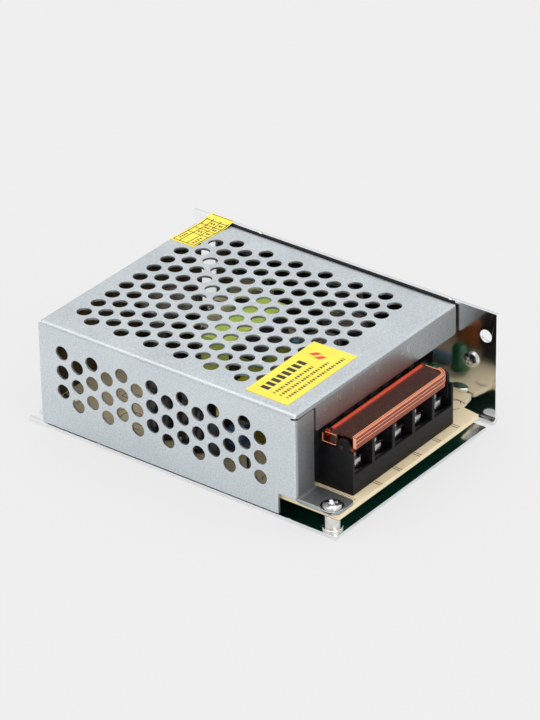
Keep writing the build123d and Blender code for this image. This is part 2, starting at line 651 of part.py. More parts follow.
# Power resistors lying on the board, with their bent leads.
with BuildPart() as resistors:
    for x, y in ((-12.0, 29.0), (-31.0, 23.5), (27.5, 28.0)):
        with BuildSketch(Plane.YZ.offset(x - 4.5)):
            with Locations((y, BOARD_Z1 + 1.9)):
                Circle(1.7)
        extrude(amount=9.0)
        with BuildSketch(Plane.XZ.offset(-(y - 0.35))):
            with Locations((x, BOARD_Z1)):
                Rectangle(12.6, 2.25, align=(Align.CENTER, Align.MIN))
                Rectangle(11.2, 1.55, align=(Align.CENTER, Align.MIN), mode=Mode.SUBTRACT)
        extrude(amount=-0.7)
resistors.part.label = "resistors"
export_step(resistors.part, "parts/resistors.step")


# Two thin labels: one on the cover near the terminals, one that bridges the
# cover's back edge and the top of the wall.
with BuildPart() as front_label:
    with Locations((28.65, -18.75, COVER_TOP)):
        Box(14.9, 32.5, LABEL_T, align=(Align.CENTER, Align.CENTER, Align.MIN))
front_label.part.label = "front_label"
export_step(front_label.part, "parts/front_label.step")

WALL_TOP = HEIGHT - LABEL_T
with BuildPart() as date_label:
    with BuildSketch(Plane.YZ.offset(-49.0)):
        with BuildLine():
            Polyline(
                (20.6, COVER_TOP), (36.4, COVER_TOP), (WALL_IN, WALL_TOP), (39.0, WALL_TOP),
                (39.0, HEIGHT), (WALL_IN - 0.05, HEIGHT), (36.35, COVER_TOP + LABEL_T),
                (20.6, COVER_TOP + LABEL_T), close=True,
            )
        make_face()
    extrude(amount=9.0)
date_label.part.label = "date_label"
export_step(date_label.part, "parts/date_label.step")
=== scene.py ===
"""Enclosed switching power supply: a bright L-shaped chassis, a board with a
five-way terminal block, and a folded, perforated cover of galvanised sheet.
All sizes below are in millimetres, in the frame of the CAD model."""

import bmesh
import bpy
import numpy as np
from mathutils import Matrix, Vector
from mathutils.geometry import delaunay_2d_cdt


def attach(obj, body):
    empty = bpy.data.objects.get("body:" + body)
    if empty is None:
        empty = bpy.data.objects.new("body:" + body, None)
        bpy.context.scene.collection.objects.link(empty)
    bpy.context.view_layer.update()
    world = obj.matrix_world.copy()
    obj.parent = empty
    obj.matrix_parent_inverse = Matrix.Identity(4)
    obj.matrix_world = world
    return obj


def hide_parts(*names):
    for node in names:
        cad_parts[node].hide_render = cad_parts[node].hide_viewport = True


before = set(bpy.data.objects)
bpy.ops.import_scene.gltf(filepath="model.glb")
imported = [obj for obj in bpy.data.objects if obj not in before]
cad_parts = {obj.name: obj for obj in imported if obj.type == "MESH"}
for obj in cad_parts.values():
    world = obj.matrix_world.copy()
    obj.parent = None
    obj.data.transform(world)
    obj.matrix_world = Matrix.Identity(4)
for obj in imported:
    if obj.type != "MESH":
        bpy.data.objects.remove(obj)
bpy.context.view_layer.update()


# Chassis. One sheet of bright rolled aluminium, 1.2 mm thick, bent once into a
# floor and a tall wall. The board hooks under a half-moon tab pressed from the
# wall, and two screw slots are open at the ends of the floor.
MM = 0.001
WIDTH, WALL_TOP = 78.0, 35.88
SHEET = 1.2
WALL_IN = WIDTH / 2 - SHEET


def shader(name, colour, rough, metal=0.0, **sockets):
    """A material with one Principled shader, whose even values stand on its own
    sockets. Returns the material, its nodes and links, and the shader."""
    mat = bpy.data.materials.new(name)
    mat.use_nodes = True
    bsdf = mat.node_tree.nodes["Principled BSDF"]
    bsdf.inputs["Base Color"].default_value = (*colour, 1.0)
    bsdf.inputs["Roughness"].default_value = rough
    bsdf.inputs["Metallic"].default_value = metal
    for key, value in sockets.items():
        bsdf.inputs[key.replace("_", " ")].default_value = value
    return mat, mat.node_tree.nodes, mat.node_tree.links, bsdf


def add_node(nodes, kind, **values):
    """A shader node of one kind, with values on the inputs that they name."""
    node = nodes.new("ShaderNode" + kind)
    for key, value in values.items():
        node.inputs[key.replace("_", " ")].default_value = value
    return node


def ramp_of(nodes, dark, light, start, end):
    """A colour ramp from dark, up to start, to light, from end on."""
    ramp = nodes.new("ShaderNodeValToRGB")
    for stop, place, colour in zip(ramp.color_ramp.elements, (start, end), (dark, light)):
        stop.position = place
        stop.color = (*colour, 1.0)
    return ramp


def mottled(name, dark, light, scale, rough=(0.3, 0.5), bump=0.0, metal=0.0, stretch=(1, 1, 1), **sockets):
    """Colour and roughness drift between two values on a noise whose patches are
    about 1/scale metres; the same noise, eight times finer, gives the bump."""
    mat, nodes, links, bsdf = shader(name, light, rough[0], metal, **sockets)
    where = add_node(nodes, "TexCoord")
    turn = add_node(nodes, "Mapping", Scale=stretch)
    links.new(where.outputs["Object"], turn.inputs["Vector"])
    noise = add_node(nodes, "TexNoise", Scale=scale, Detail=4.0)
    links.new(turn.outputs["Vector"], noise.inputs["Vector"])
    ramp = ramp_of(nodes, dark, light, 0.32, 0.68)
    links.new(noise.outputs["Fac"], ramp.inputs["Fac"])
    links.new(ramp.outputs["Color"], bsdf.inputs["Base Color"])
    span = add_node(nodes, "MapRange", To_Min=rough[0], To_Max=rough[1])
    links.new(noise.outputs["Fac"], span.inputs["Value"])
    links.new(span.outputs["Result"], bsdf.inputs["Roughness"])
    if bump:
        fine = add_node(nodes, "TexNoise", Scale=scale * 8)
        links.new(turn.outputs["Vector"], fine.inputs["Vector"])
        relief = add_node(nodes, "Bump", Strength=bump, Distance=0.00008)
        links.new(fine.outputs["Fac"], relief.inputs["Height"])
        links.new(relief.outputs["Normal"], bsdf.inputs["Normal"])
    return mat


def piece(name, points, faces, finish, body="housing", stands_for=(), smooth=35.0):
    """One object from an (n, 3) array in millimetres and lists of corner numbers,
    with doubles merged, faces outwards and edges sharper than smooth kept."""
    mesh = bpy.data.meshes.new(name)
    mesh.from_pydata((np.asarray(points, float) * MM).tolist(), [], [list(f) for f in faces])
    bm = bmesh.new()
    bm.from_mesh(mesh)
    bmesh.ops.remove_doubles(bm, verts=bm.verts, dist=2e-7)
    bmesh.ops.dissolve_degenerate(bm, edges=bm.edges, dist=1e-8)
    bmesh.ops.recalc_face_normals(bm, faces=bm.faces)
    bm.to_mesh(mesh)
    bm.free()
    mesh.polygons.foreach_set("use_smooth", [True] * len(mesh.polygons))
    mesh.set_sharp_from_angle(angle=np.radians(smooth))
    mesh.materials.append(finish)
    made = bpy.data.objects.new(name, mesh)
    bpy.context.collection.objects.link(made)
    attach(made, body)
    if stands_for:
        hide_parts(*stands_for)
    return made


def blank(outline, folds, holes):
    """A flat sheet blank as triangles: the outline, the holes as rings of points,
    and a pair of points for every fold line, all kept as edges of one Delaunay
    triangulation; triangles inside a hole or off the blank go."""
    rings = [np.asarray(outline, float)] + [np.asarray(h, float) for h in holes]
    points, edges = [], []
    for ring in rings:
        first = len(points)
        points += ring.tolist()
        edges += [(first + i, first + (i + 1) % len(ring)) for i in range(len(ring))]
    for a, b in folds:
        edges.append((len(points), len(points) + 1))
        points += [list(a), list(b)]
    flat = delaunay_2d_cdt([Vector(p) for p in points], edges, [], 0, 1e-5)
    verts = np.array([v[:] for v in flat[0]])
    tris = np.array([f for f in flat[2]])
    middle = verts[tris].mean(axis=1)

    def inside(ring):
        x, y = middle[:, 0:1], middle[:, 1:2]
        x0, y0 = ring[:, 0], ring[:, 1]
        x1, y1 = np.roll(x0, -1), np.roll(y0, -1)
        crosses = (y0 > y) != (y1 > y)
        slope = np.where(np.abs(y1 - y0) < 1e-12, 1e-12, y1 - y0)
        return (crosses & (x < (x1 - x0) * (y - y0) / slope + x0)).sum(axis=1) % 2 == 1

    keep = inside(rings[0])
    for ring in rings[1:]:
        centre, reach = ring.mean(axis=0), np.ptp(ring, axis=0).max() / 2
        near = np.abs(middle - centre).max(axis=1) < reach
        if near.any():
            keep &= ~(near & inside(ring))
    return verts, tris[keep]


def bend(run, radius):
    """Where a run past the start of a right-angled bend ends up: how far on, and
    how far down. The arc takes a quarter turn of the radius, then goes straight."""
    turn = np.clip(run / radius, 0, np.pi / 2)
    return radius * np.sin(turn), radius * (1 - np.cos(turn)) + np.maximum(run - radius * np.pi / 2, 0)


def bend_lines(a, b, way, arc, count=6, lead=0.25):
    """The fold lines of one bend, from a to b: one a lead before it, count evenly
    over its arc and one a lead past it, each moved that far along way."""
    a, b, way = np.array(a), np.array(b), np.array(way)
    return [(a + way * move, b + way * move) for move in (-lead, *np.linspace(0, arc, count), arc + lead)]


def thicken(sheet, thickness, edge, outward):
    """Turns the sheet's skin so that its largest face looks outward, solidifies
    inwards from it, then puts a hair of bevel on every cut."""
    widest = max(sheet.data.polygons, key=lambda f: f.area)
    if widest.normal.dot(Vector(outward)) < 0:
        sheet.data.flip_normals()
    solid = sheet.modifiers.new("thickness", "SOLIDIFY")
    solid.thickness = thickness * MM
    solid.offset = -1.0
    solid.use_even_offset = True
    solid.use_quality_normals = True
    worn = sheet.modifiers.new("cut_edges", "BEVEL")
    worn.width = edge * MM
    worn.segments = 1
    worn.limit_method = "ANGLE"
    worn.angle_limit = np.radians(50)
    worn.use_clamp_overlap = True
    even = sheet.modifiers.new("flat_shading", "WEIGHTED_NORMAL")
    even.weight = 100
    even.keep_sharp = True


def circle(x, y, r, count=24, start=0.0, sweep=2 * np.pi):
    """Points of a circle or, with a sweep, of an arc with both its ends."""
    full = abs(sweep - 2 * np.pi) < 1e-9
    t = start + sweep * np.arange(count) / (count if full else count - 1)
    return np.c_[x + r * np.cos(t), y + r * np.sin(t)]


FLOOR_BEND = 1.6
FLOOR_ARC = FLOOR_BEND * np.pi / 2
X_END, Y_EDGE = 55.0, -WIDTH / 2
WALL_X0 = -54.0
SLOT_R = 1.7
bend_line = WIDTH / 2 - FLOOR_BEND


def wall_v(z):
    """Flat-blank coordinate of a height on the wall's outer face."""
    return bend_line + FLOOR_ARC + z - FLOOR_BEND


def nick(x, y, way):
    """A shallow nick that shearing left in an edge: four points, 1.2 long and
    0.25 deep, in the order in which the outline passes it."""
    deep = y + 0.25 * way
    return [(x - 0.6 * way, y), (x - 0.4 * way, deep), (x + 0.4 * way, deep), (x + 0.6 * way, y)]


wall_edge = wall_v(WALL_TOP)
chassis_outline = np.vstack([
    (-X_END, Y_EDGE), nick(-29, Y_EDGE, 1), nick(39, Y_EDGE, 1), (X_END, Y_EDGE),
    (X_END, 33.2), circle(50.8, 34.9, SLOT_R, 13, -np.pi / 2, -np.pi), (X_END, 36.6),
    (X_END, wall_edge), nick(39, wall_edge, -1), nick(-29, wall_edge, -1),
    (WALL_X0, wall_edge), (WALL_X0, bend_line - 0.6), (-X_END, bend_line - 0.6),
    (-X_END, -34.3), circle(-50.8, -36.0, SLOT_R, 13, np.pi / 2, -np.pi), (-X_END, -37.7),
])
folds = bend_lines((WALL_X0, bend_line), (X_END, bend_line), (0, 1), FLOOR_ARC, 9, 0.2)
WALL_SCREW = (46.5, 18.5)
wall_holes = [circle(x, wall_v(z), r, count) for x, z, r, count in (
    (51.4, 27.8, 2.0, 40), (*WALL_SCREW, 1.5, 24), (-24, 19, 1.5, 24), (10, 19, 1.5, 24))]
flat, tris = blank(chassis_outline, folds, wall_holes)
on, up = bend(np.maximum(flat[:, 1] - bend_line, 0), FLOOR_BEND)
skin = np.c_[flat[:, 0], np.minimum(flat[:, 1], bend_line) + on, up]

bright_aluminium = mottled("bright_aluminium", (0.80, 0.81, 0.82), (0.90, 0.91, 0.92), 300,
                           rough=(0.10, 0.17), bump=0.04, metal=1.0, stretch=(0.15, 1, 1))
chassis = piece("chassis", skin, tris, bright_aluminium, stands_for=("base_chassis",), smooth=25)
thicken(chassis, SHEET, 0.07, (0, 0.5, -1))

# The half-moon tab: a lens of the wall's own sheet, pressed inwards over the
# board's back edge.
MOON_X, MOON_Z, MOON_REACH = 42.55, 7.4, 1.75
u = np.linspace(0, np.pi, 25)[None, :]
v = np.array([0.0, 0.0, 0.12, 0.5, 0.88, 1.0, 1.0])[:, None]
pull = np.array([0.0, 0.93, 1.0, 1.0, 1.0, 0.93, 0.0])[:, None]
moon = np.stack([MOON_X + 2.85 * pull * np.cos(u), WALL_IN + 0.1 - MOON_REACH * pull * np.sin(u),
                 MOON_Z + SHEET * v + 0 * u], -1).reshape(-1, 3)


def weave(rows, cols, ring=False):
    """Corner numbers of the quads between neighbouring rows and columns of a grid
    of points; ring joins the last column to the first."""
    r = np.arange(rows - 1)[:, None] * cols
    c = np.arange(cols if ring else cols - 1)[None, :]
    n = (c + 1) % cols
    return np.stack([r + c, r + n, r + cols + n, r + cols + c], -1).reshape(-1, 4)


piece("half_moon_tab", moon, weave(7, 25), bright_aluminium)


# Standoffs. Plated brass, pressed into the floor; the one in sight stands on a
# flange. Each is a turned profile carried round its axis.
BOARD_Z0, BOARD_Z1 = 5.7, 7.3
POSTS = [(51.3, -35.5), (-44.0, -32.0), (-44.0, 32.0)]


def turned(profile, x, y, count=40, face=None):
    """A profile of (radius, height) pairs carried round an axis: every radius
    times the cosine and sine of the angle, at its height. The axis is upright at
    x, y or, given a face, level at x and height y, its heights running towards -Y
    from that face. Ends at radius 0 close the shape."""
    r, h = np.asarray(profile, float).T
    t = np.linspace(0, 2 * np.pi, count, endpoint=False)
    ring = np.stack([r[:, None] * np.cos(t), r[:, None] * np.sin(t), h[:, None] + 0 * t], -1)
    ring = ring.reshape(-1, 3)
    if face is None:
        ring = ring + (x, y, 0)
    else:
        ring = np.c_[x + ring[:, 0], face - ring[:, 2], y + ring[:, 1]]
    return ring, weave(len(r), count, ring=True)


def together(*shapes):
    """Several (points, faces) pairs as one, with the corner numbers moved on."""
    points, faces, first = [], [], 0
    for pts, fcs in shapes:
        points.append(np.asarray(pts, float))
        faces += [[int(i) + first for i in f] for f in fcs]
        first += len(pts)
    return np.vstack(points), faces


nickel = mottled("nickel_plate", (0.66, 0.64, 0.60), (0.82, 0.81, 0.78), 500, rough=(0.14, 0.26),
                 bump=0.05, metal=1.0)
post = [(0, SHEET), (2.9, SHEET), (3.0, 1.3), (3.0, 1.75), (2.85, 1.9), (2.3, 1.9), (2.3, 2.1),
        (2.3, BOARD_Z0 - 0.15), (2.15, BOARD_Z0), (0, BOARD_Z0)]
plain = [(0, SHEET), (2.3, SHEET), *post[-3:]]
piece("standoffs", *together(turned(post, *POSTS[0]), turned(plain, *POSTS[1]), turned(plain, *POSTS[2])),
      nickel, stands_for=("board_standoffs",))


# Circuit board. 1.6 mm paper laminate, bare tan on top, green lacquer below,
# hooked under the wall's tab and screwed to the standoffs.
board_outline = np.vstack([(-48.5, -37.5), (55.0, -37.5), (55.0, 29.3), (48.4, 30.2),
                           circle(46.3, 36.4, 1.0, 7, 0.1, 1.45), (-48.5, 37.4)])
pad_holes = [circle(x, y, 1.6, 20) for x, y in POSTS]
flat, tris = blank(board_outline, [], pad_holes)
under = np.c_[flat, np.full(len(flat), BOARD_Z0)]


def srgb(r, g, b):
    """Linear colour of an 8-bit sRGB colour."""
    c = np.array([r, g, b]) / 255.0
    return tuple(float(v) for v in np.where(c <= 0.04045, c / 12.92, ((c + 0.055) / 1.055) ** 2.4))


def arithmetic(nodes, operation, second):
    """A maths node that keeps one value on its second input."""
    node = nodes.new("ShaderNodeMath")
    node.operation = operation
    node.inputs[1].default_value = second
    return node


def two_faced(name, below, above, split, scale, rough):
    """Laminate: one colour under the height split and another above it, each
    with a faint drift of tone."""
    mat, nodes, links, bsdf = shader(name, above[1], rough)
    where, parts = add_node(nodes, "TexCoord"), add_node(nodes, "SeparateXYZ")
    links.new(where.outputs["Object"], parts.inputs["Vector"])
    step = arithmetic(nodes, "GREATER_THAN", split * MM)
    links.new(parts.outputs["Z"], step.inputs[0])
    noise = add_node(nodes, "TexNoise", Scale=scale, Detail=5)
    links.new(where.outputs["Object"], noise.inputs["Vector"])
    lower, upper, both = (add_node(nodes, "Mix") for _ in range(3))
    for mix, (dark, light) in ((lower, below), (upper, above)):
        mix.data_type = "RGBA"
        mix.inputs["A"].default_value = (*dark, 1)
        mix.inputs["B"].default_value = (*light, 1)
        links.new(noise.outputs["Fac"], mix.inputs["Factor"])
    both.data_type = "RGBA"
    links.new(step.outputs[0], both.inputs["Factor"])
    links.new(lower.outputs["Result"], both.inputs["A"])
    links.new(upper.outputs["Result"], both.inputs["B"])
    links.new(both.outputs["Result"], bsdf.inputs["Base Color"])
    return mat


laminate = two_faced("tan_laminate", (srgb(6, 62, 48), srgb(14, 92, 70)),
                     (srgb(232, 212, 172), srgb(246, 230, 196)), BOARD_Z0 + 0.12, 220, 0.42)
board = piece("board", under, [t[::-1] for t in tris], laminate, stands_for=("circuit_board",))
thicken(board, BOARD_Z1 - BOARD_Z0, 0.05, (0, 0, -1))

# Printing on the board: pairs of short strokes before the terminals, a row of
# fine dashes beside the block, and loose arcs near the tab and the far end.
ink = mottled("black_ink", (0.012, 0.012, 0.012), (0.03, 0.03, 0.03), 900, rough=(0.5, 0.6))


def stroke(path, width, z):
    """A flat ribbon: a path of points moved half a width to each side along its
    own normal, at one height, with its first corner repeated where it closes."""
    path = np.asarray(path, float)
    run = np.gradient(path, axis=0)
    side = np.c_[-run[:, 1], run[:, 0]] / np.linalg.norm(run, axis=1, keepdims=True) * width / 2
    both = np.vstack([path + side, path - side])
    return np.c_[both, np.full(len(both), z)], weave(2, len(path))


def straight(x0, y0, x1, y1, width, z):
    """A stroke from one point to another, with a third in its middle."""
    return stroke([(x0, y0), ((x0 + x1) / 2, (y0 + y1) / 2), (x1, y1)], width, z)


PRINT_Z, PRINT_W = BOARD_Z1 + 0.012, 0.26
strokes = [straight(52.2, y + d, 54.8, y + d, PRINT_W, PRINT_Z)
           for y in (-17.4, -8.1, 1.4, 10.8, 20.2) for d in (-0.45, 0.45)]
strokes += [straight(42.6 + 0.72 * i, -28.7, 42.6 + 0.72 * i, -27.5, 0.16, PRINT_Z) for i in range(16)]
for x, y, r, a, s in ((45.5, 30.6, 2.0, 0.4, 2.2), (46.6, 29.3, 3.1, 0.9, 1.6), (50.3, 26.6, 2.6, 2.2, 2.4),
                      (-24, -30, 3.2, 0.3, 4.2), (-31, -27, 2.3, 2.0, 4.0), (-37, -31, 2.8, 4.0, 3.6),
                      (-28, -21, 2.0, 1.0, 4.4), (28, -33, 2.2, 0.2, 3.8), (35, -31, 1.7, 2.8, 3.4)):
    strokes.append(stroke(circle(x, y, r, 17, a, s), PRINT_W, PRINT_Z))
for x, y, w, h in ((-34, -22, 5, 3), (-22, -34, 4, 2.4), (31, -35, 4.5, 2)):
    strokes += [straight(*ends, 0.22, PRINT_Z) for ends in
                ((x, y, x + w, y), (x, y + h, x + w, y + h), (x, y, x, y + h))]
piece("board_printing", *together(*strokes), ink)


# Screws. Bright cross-recessed pan heads: two hold the far end of the board, one
# the cover's foot, one stands in the wall.
def rod(x, y, r, lo, hi, count=16, face=None):
    """A plain cylinder from one height to another."""
    return turned([(0, lo), (r, lo), (r, hi), (0, hi)], x, y, count, face)


def pan_head(x, y, z, radius, height, cross=0.62, slot=0.16, flange=0.0, level=False, spin=0.4):
    """A disc grid: the unit square bent to a disc, domed by a power of the radius,
    and sunk where it lies in a cross of half width slot, deeper towards the
    middle. A skirt of rings runs down from its rim to the seat, over a flange if
    there is one. Level lays it on the wall: y is then its height, z the wall."""
    line = np.array([0, slot, slot + 0.05, cross - 0.06, cross, 0.8, 0.93, 1.0])
    line = np.r_[-line[:0:-1], line]
    a, b = np.meshgrid(line, line, indexing="ij")
    px, py = a * np.sqrt(1 - b * b / 2), b * np.sqrt(1 - a * a / 2)
    rho = np.hypot(px, py)
    along, across = np.maximum(np.abs(a), np.abs(b)), np.minimum(np.abs(a), np.abs(b))
    sunk = (across <= slot + 1e-9) & (along <= cross - 0.059)
    top = height * (1 - 0.42 * rho ** 2.6)
    top = np.where(sunk, np.minimum(top, height * (0.12 + 0.55 * along / cross)), top)
    grid = np.stack([px * radius, py * radius, top], -1).reshape(-1, 3)
    n = len(line)
    edge = np.r_[np.arange(n - 1) * n, (n - 1) * n + np.arange(n - 1), np.arange(n - 1, 0, -1) * n + n - 1,
                 np.arange(n - 1, 0, -1)]
    rim = grid[edge]
    grow = 1.0 + flange / radius
    rows = [rim, rim * (1, 1, 0) + (0, 0, height * 0.30)]
    if flange:
        rows += [rim * (1, 1, 0) + (0, 0, 0.34), rim * (grow, grow, 0) + (0, 0, 0.30)]
    rows += [rim * (grow, grow, 0), np.zeros_like(rim)]
    skirt = np.vstack(rows)
    points, faces = together((grid, weave(n, n)), (skirt, weave(len(rows), len(edge), ring=True)))
    c, s = np.cos(spin), np.sin(spin)
    points = points @ np.array([[c, s, 0], [-s, c, 0], [0, 0, 1.0]])
    if level:
        return np.c_[x + points[:, 0], z - points[:, 2], y + points[:, 1]], faces
    return points + (x, y, z), faces


bright_zinc = mottled("bright_zinc", (0.62, 0.62, 0.62), (0.86, 0.86, 0.85), 900, rough=(0.12, 0.28),
                      bump=0.08, metal=1.0)
COVER_T = 0.8
FOOT_Z = BOARD_Z1 + COVER_T
SHANK_R, SHANK_END = 1.45, 1.6
piece("board_screws_finished", *together(
    *(pan_head(x, y, BOARD_Z1, 2.8, 1.9) for x, y in POSTS[1:]),
    *(rod(x, y, SHANK_R, SHANK_END, BOARD_Z1) for x, y in POSTS[1:])),
    bright_zinc, stands_for=("board_screws",))
piece("foot_screw", *together(
    pan_head(*POSTS[0], FOOT_Z, 2.65, 1.3, flange=0.75, spin=0.9),
    rod(*POSTS[0], SHANK_R, SHANK_END, FOOT_Z)), bright_zinc, stands_for=("cover_screw",))
piece("wall_screw_finished", *together(
    pan_head(*WALL_SCREW, WALL_IN, 2.45, 1.15, slot=0.12, cross=0.5, level=True, spin=0.5),
    rod(*WALL_SCREW, SHANK_R, -SHEET, 0, face=WALL_IN)), bright_zinc, stands_for=("wall_screw",))


# Parts on the board, seen through the vents. Small ones keep the CAD solid's
# form with softened edges; the cans and the lamp are turned.
CORE_WAS, CORE_IS = (-6.0, 2.0), (-6.8, 1.6)


def softened(node, finish, edge, across=False):
    """A copy of a solid's own mesh, its doubles merged and its flat faces joined,
    with a narrow bevel on every edge sharper than forty degrees. Across gives it
    a quarter turn about the transformer's middle and moves that middle a little,
    the way the photograph has it."""
    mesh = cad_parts[node].data.copy()
    bm = bmesh.new()
    bm.from_mesh(mesh)
    bmesh.ops.remove_doubles(bm, verts=bm.verts, dist=1e-6)
    if across:
        there = Matrix.Translation((CORE_IS[0] * MM, CORE_IS[1] * MM, 0)) @ Matrix.Rotation(np.pi / 2, 4, "Z")
        back = Matrix.Translation((-CORE_WAS[0] * MM, -CORE_WAS[1] * MM, 0))
        bmesh.ops.transform(bm, matrix=there @ back, verts=bm.verts)
    bmesh.ops.dissolve_limit(bm, angle_limit=np.radians(0.6), verts=bm.verts, edges=bm.edges)
    bm.to_mesh(mesh)
    bm.free()
    mesh.materials.clear()
    mesh.materials.append(finish)
    mesh.polygons.foreach_set("use_smooth", [True] * len(mesh.polygons))
    mesh.set_sharp_from_angle(angle=np.radians(35))
    made = bpy.data.objects.new(node + "_finished", mesh)
    bpy.context.collection.objects.link(made)
    worn = made.modifiers.new("edges", "BEVEL")
    worn.width = edge * MM
    worn.segments = 2
    worn.limit_method = "ANGLE"
    worn.angle_limit = np.radians(40)
    worn.harden_normals = True
    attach(made, "housing")
    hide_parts(node)


lime_tape = mottled("lime_tape", srgb(196, 218, 84), srgb(222, 240, 116), 260, (0.22, 0.4), 0.25)
black_moulding = mottled("black_moulding", (0.010, 0.010, 0.011), (0.022, 0.022, 0.024), 700,
                         (0.38, 0.52), 0.08)
ferrite = mottled("ferrite", (0.02, 0.02, 0.022), (0.05, 0.05, 0.052), 900, (0.5, 0.7), 0.2)
copper = mottled("enamelled_copper", (0.42, 0.13, 0.04), (0.62, 0.22, 0.08), 1500, (0.2, 0.35), 0.3, 1.0,
                 stretch=(1, 1, 6))
# The yellow case is dulled to olive: painted shade, as its top lies in shadow under the cover.
shaded_yellow_case = mottled("shaded_yellow_case", srgb(140, 130, 34), srgb(168, 156, 48), 240, (0.3, 0.42), 0.1)
blue_resin = mottled("blue_resin", srgb(10, 34, 58), srgb(18, 52, 84), 400, (0.2, 0.32), 0.15)
green_resin = mottled("green_resin", srgb(24, 60, 38), srgb(40, 84, 54), 400, (0.25, 0.4), 0.15)
grey_pad = mottled("grey_pad", (0.20, 0.21, 0.22), (0.27, 0.28, 0.29), 500, (0.6, 0.75), 0.15)
white_ceramic = mottled("white_ceramic", (0.62, 0.61, 0.57), (0.74, 0.73, 0.70), 500, (0.3, 0.5), 0.1)
blue_lacquer = mottled("blue_lacquer", srgb(90, 128, 150), srgb(118, 156, 178), 500, (0.25, 0.4), 0.1)
for node, finish, edge in (
        ("transformer_core", ferrite, 0.25), ("transformer_bobbin", black_moulding, 0.2),
        ("transformer_winding", lime_tape, 0.4), ("transformer_tape", lime_tape, 0.1),
        ("x_capacitor", shaded_yellow_case, 0.5), ("choke_core", ferrite, 0.3),
        ("choke_winding_1", copper, 0.6), ("choke_winding_2", copper, 0.6),
        ("output_choke_core", ferrite, 0.3), ("output_choke_winding", copper, 0.6),
        ("fuse", white_ceramic, 0.2), ("inrush_thermistor", green_resin, 0.7),
        ("y_capacitor", blue_resin, 0.8), ("bridge_rectifier", black_moulding, 0.25),
        ("power_transistor", black_moulding, 0.2), ("power_transistor_clamp", bright_zinc, 0.15),
        ("power_transistor_screw", bright_zinc, 0.2), ("output_rectifier", black_moulding, 0.2),
        ("output_rectifier_clamp", bright_zinc, 0.15), ("output_rectifier_screw", bright_zinc, 0.2),
        ("power_transistor_pad", grey_pad, 0.03), ("output_rectifier_pad", grey_pad, 0.03),
        ("control_chip", black_moulding, 0.12), ("optocoupler", black_moulding, 0.12),
        ("resistors", blue_lacquer, 0.3)):
    softened(node, finish, edge, across=node.startswith("transformer"))

# Electrolytic cans: a shrunk sleeve over the can's shoulder, a dull aluminium
# top inside it, and the crimp groove near the foot.
main_sleeve = mottled("main_sleeve", srgb(16, 15, 17), srgb(26, 25, 28), 300, (0.2, 0.34), 0.1)
black_sleeve = mottled("black_sleeve", (0.010, 0.010, 0.012), (0.022, 0.022, 0.026), 300, (0.2, 0.34), 0.1)
CANS = [("mains_capacitor", -31.0, -3.0, 9.0, 31.0, main_sleeve),
        ("output_capacitor_1", 15.6, 7.4, 6.25, 28.5, black_sleeve),
        ("output_capacitor_2", 15.6, 21.2, 6.25, 28.5, black_sleeve),
        ("supply_capacitor_1", -11.0, -30.5, 5.0, 24.0, black_sleeve),
        ("supply_capacitor_2", 1.0, -30.5, 5.0, 24.0, black_sleeve)]
can_top = mottled("can_top", (0.10, 0.085, 0.07), (0.20, 0.17, 0.14), 600, (0.35, 0.5), 0.1, 1.0)
for name, x, y, r, top, sleeve in CANS:
    b = BOARD_Z1
    side = [(0, b), (r - 0.6, b), (r, b + 0.5), (r, b + 1.9), (r - 0.45, b + 2.3), (r - 0.45, b + 2.7),
            (r, b + 3.1), (r, top - 0.9), (r - 0.12, top - 0.4), (r - 0.45, top - 0.08), (r - 1.0, top),
            (r - 1.15, top - 0.06), (0, top - 0.06)]
    piece(name + "_finished", *turned(side, x, y, 48), sleeve, stands_for=(name,))
    piece(name + "_top", *rod(x, y, r - 1.3, top - 0.05, top - 0.02, 48), can_top)

# Indicator lamp: green tinted epoxy, a flange, a barrel and a round dome.
green_epoxy = shader("green_epoxy", srgb(0, 96, 52), 0.12, Transmission_Weight=0.35, IOR=1.5,
                     Coat_Weight=0.4)[0]
LAMP, LAMP_R, LAMP_FOOT, DOME_Z = (37.6, 30.6), 2.5, 9.2, 15.2
barrel = [(0, LAMP_FOOT), (2.9, LAMP_FOOT), (2.9, LAMP_FOOT + 0.7), (2.75, LAMP_FOOT + 0.8),
          (LAMP_R, LAMP_FOOT + 0.8), (LAMP_R, DOME_Z)]
barrel += [(LAMP_R * np.cos(t), DOME_Z + LAMP_R * np.sin(t)) for t in np.linspace(0, np.pi / 2, 12)[1:-1]]
piece("indicator_lamp", *turned([*barrel, (0, DOME_Z + LAMP_R)], *LAMP, 40), green_epoxy,
      stands_for=("indicator_led",))


# Terminal block. Black moulded plastic: base, rear wall with teeth, low front
# wall, partitions flush with the front, rounded posts and ears for the lid.
def bar(lo, hi, r=0.15):
    """A box with rounded edges: every point of the box's surface grid is pulled
    to the inner box that is r smaller, then pushed out from it again by r."""
    lo, hi = np.asarray(lo, float), np.asarray(hi, float)
    r = min(r, *(0.49 * (hi - lo)))
    k = r * (1 - np.tan(np.linspace(np.pi / 4, 0, 3)))
    shapes = []
    for axis in range(3):
        u, v = [i for i in range(3) if i != axis]
        gu = np.r_[lo[u] + k, hi[u] - k[::-1]]
        gv = np.r_[lo[v] + k, hi[v] - k[::-1]]
        a, b = np.meshgrid(gu, gv, indexing="ij")
        for level in (lo[axis], hi[axis]):
            grid = np.empty(a.shape + (3,))
            grid[..., u], grid[..., v], grid[..., axis] = a, b, level
            grid = grid.reshape(-1, 3)
            core = np.clip(grid, lo + r, hi - r)
            away = grid - core
            grid = core + away * r / np.maximum(np.linalg.norm(away, axis=1, keepdims=True), 1e-9)
            shapes.append((grid, weave(*a.shape)))
    return together(*shapes)


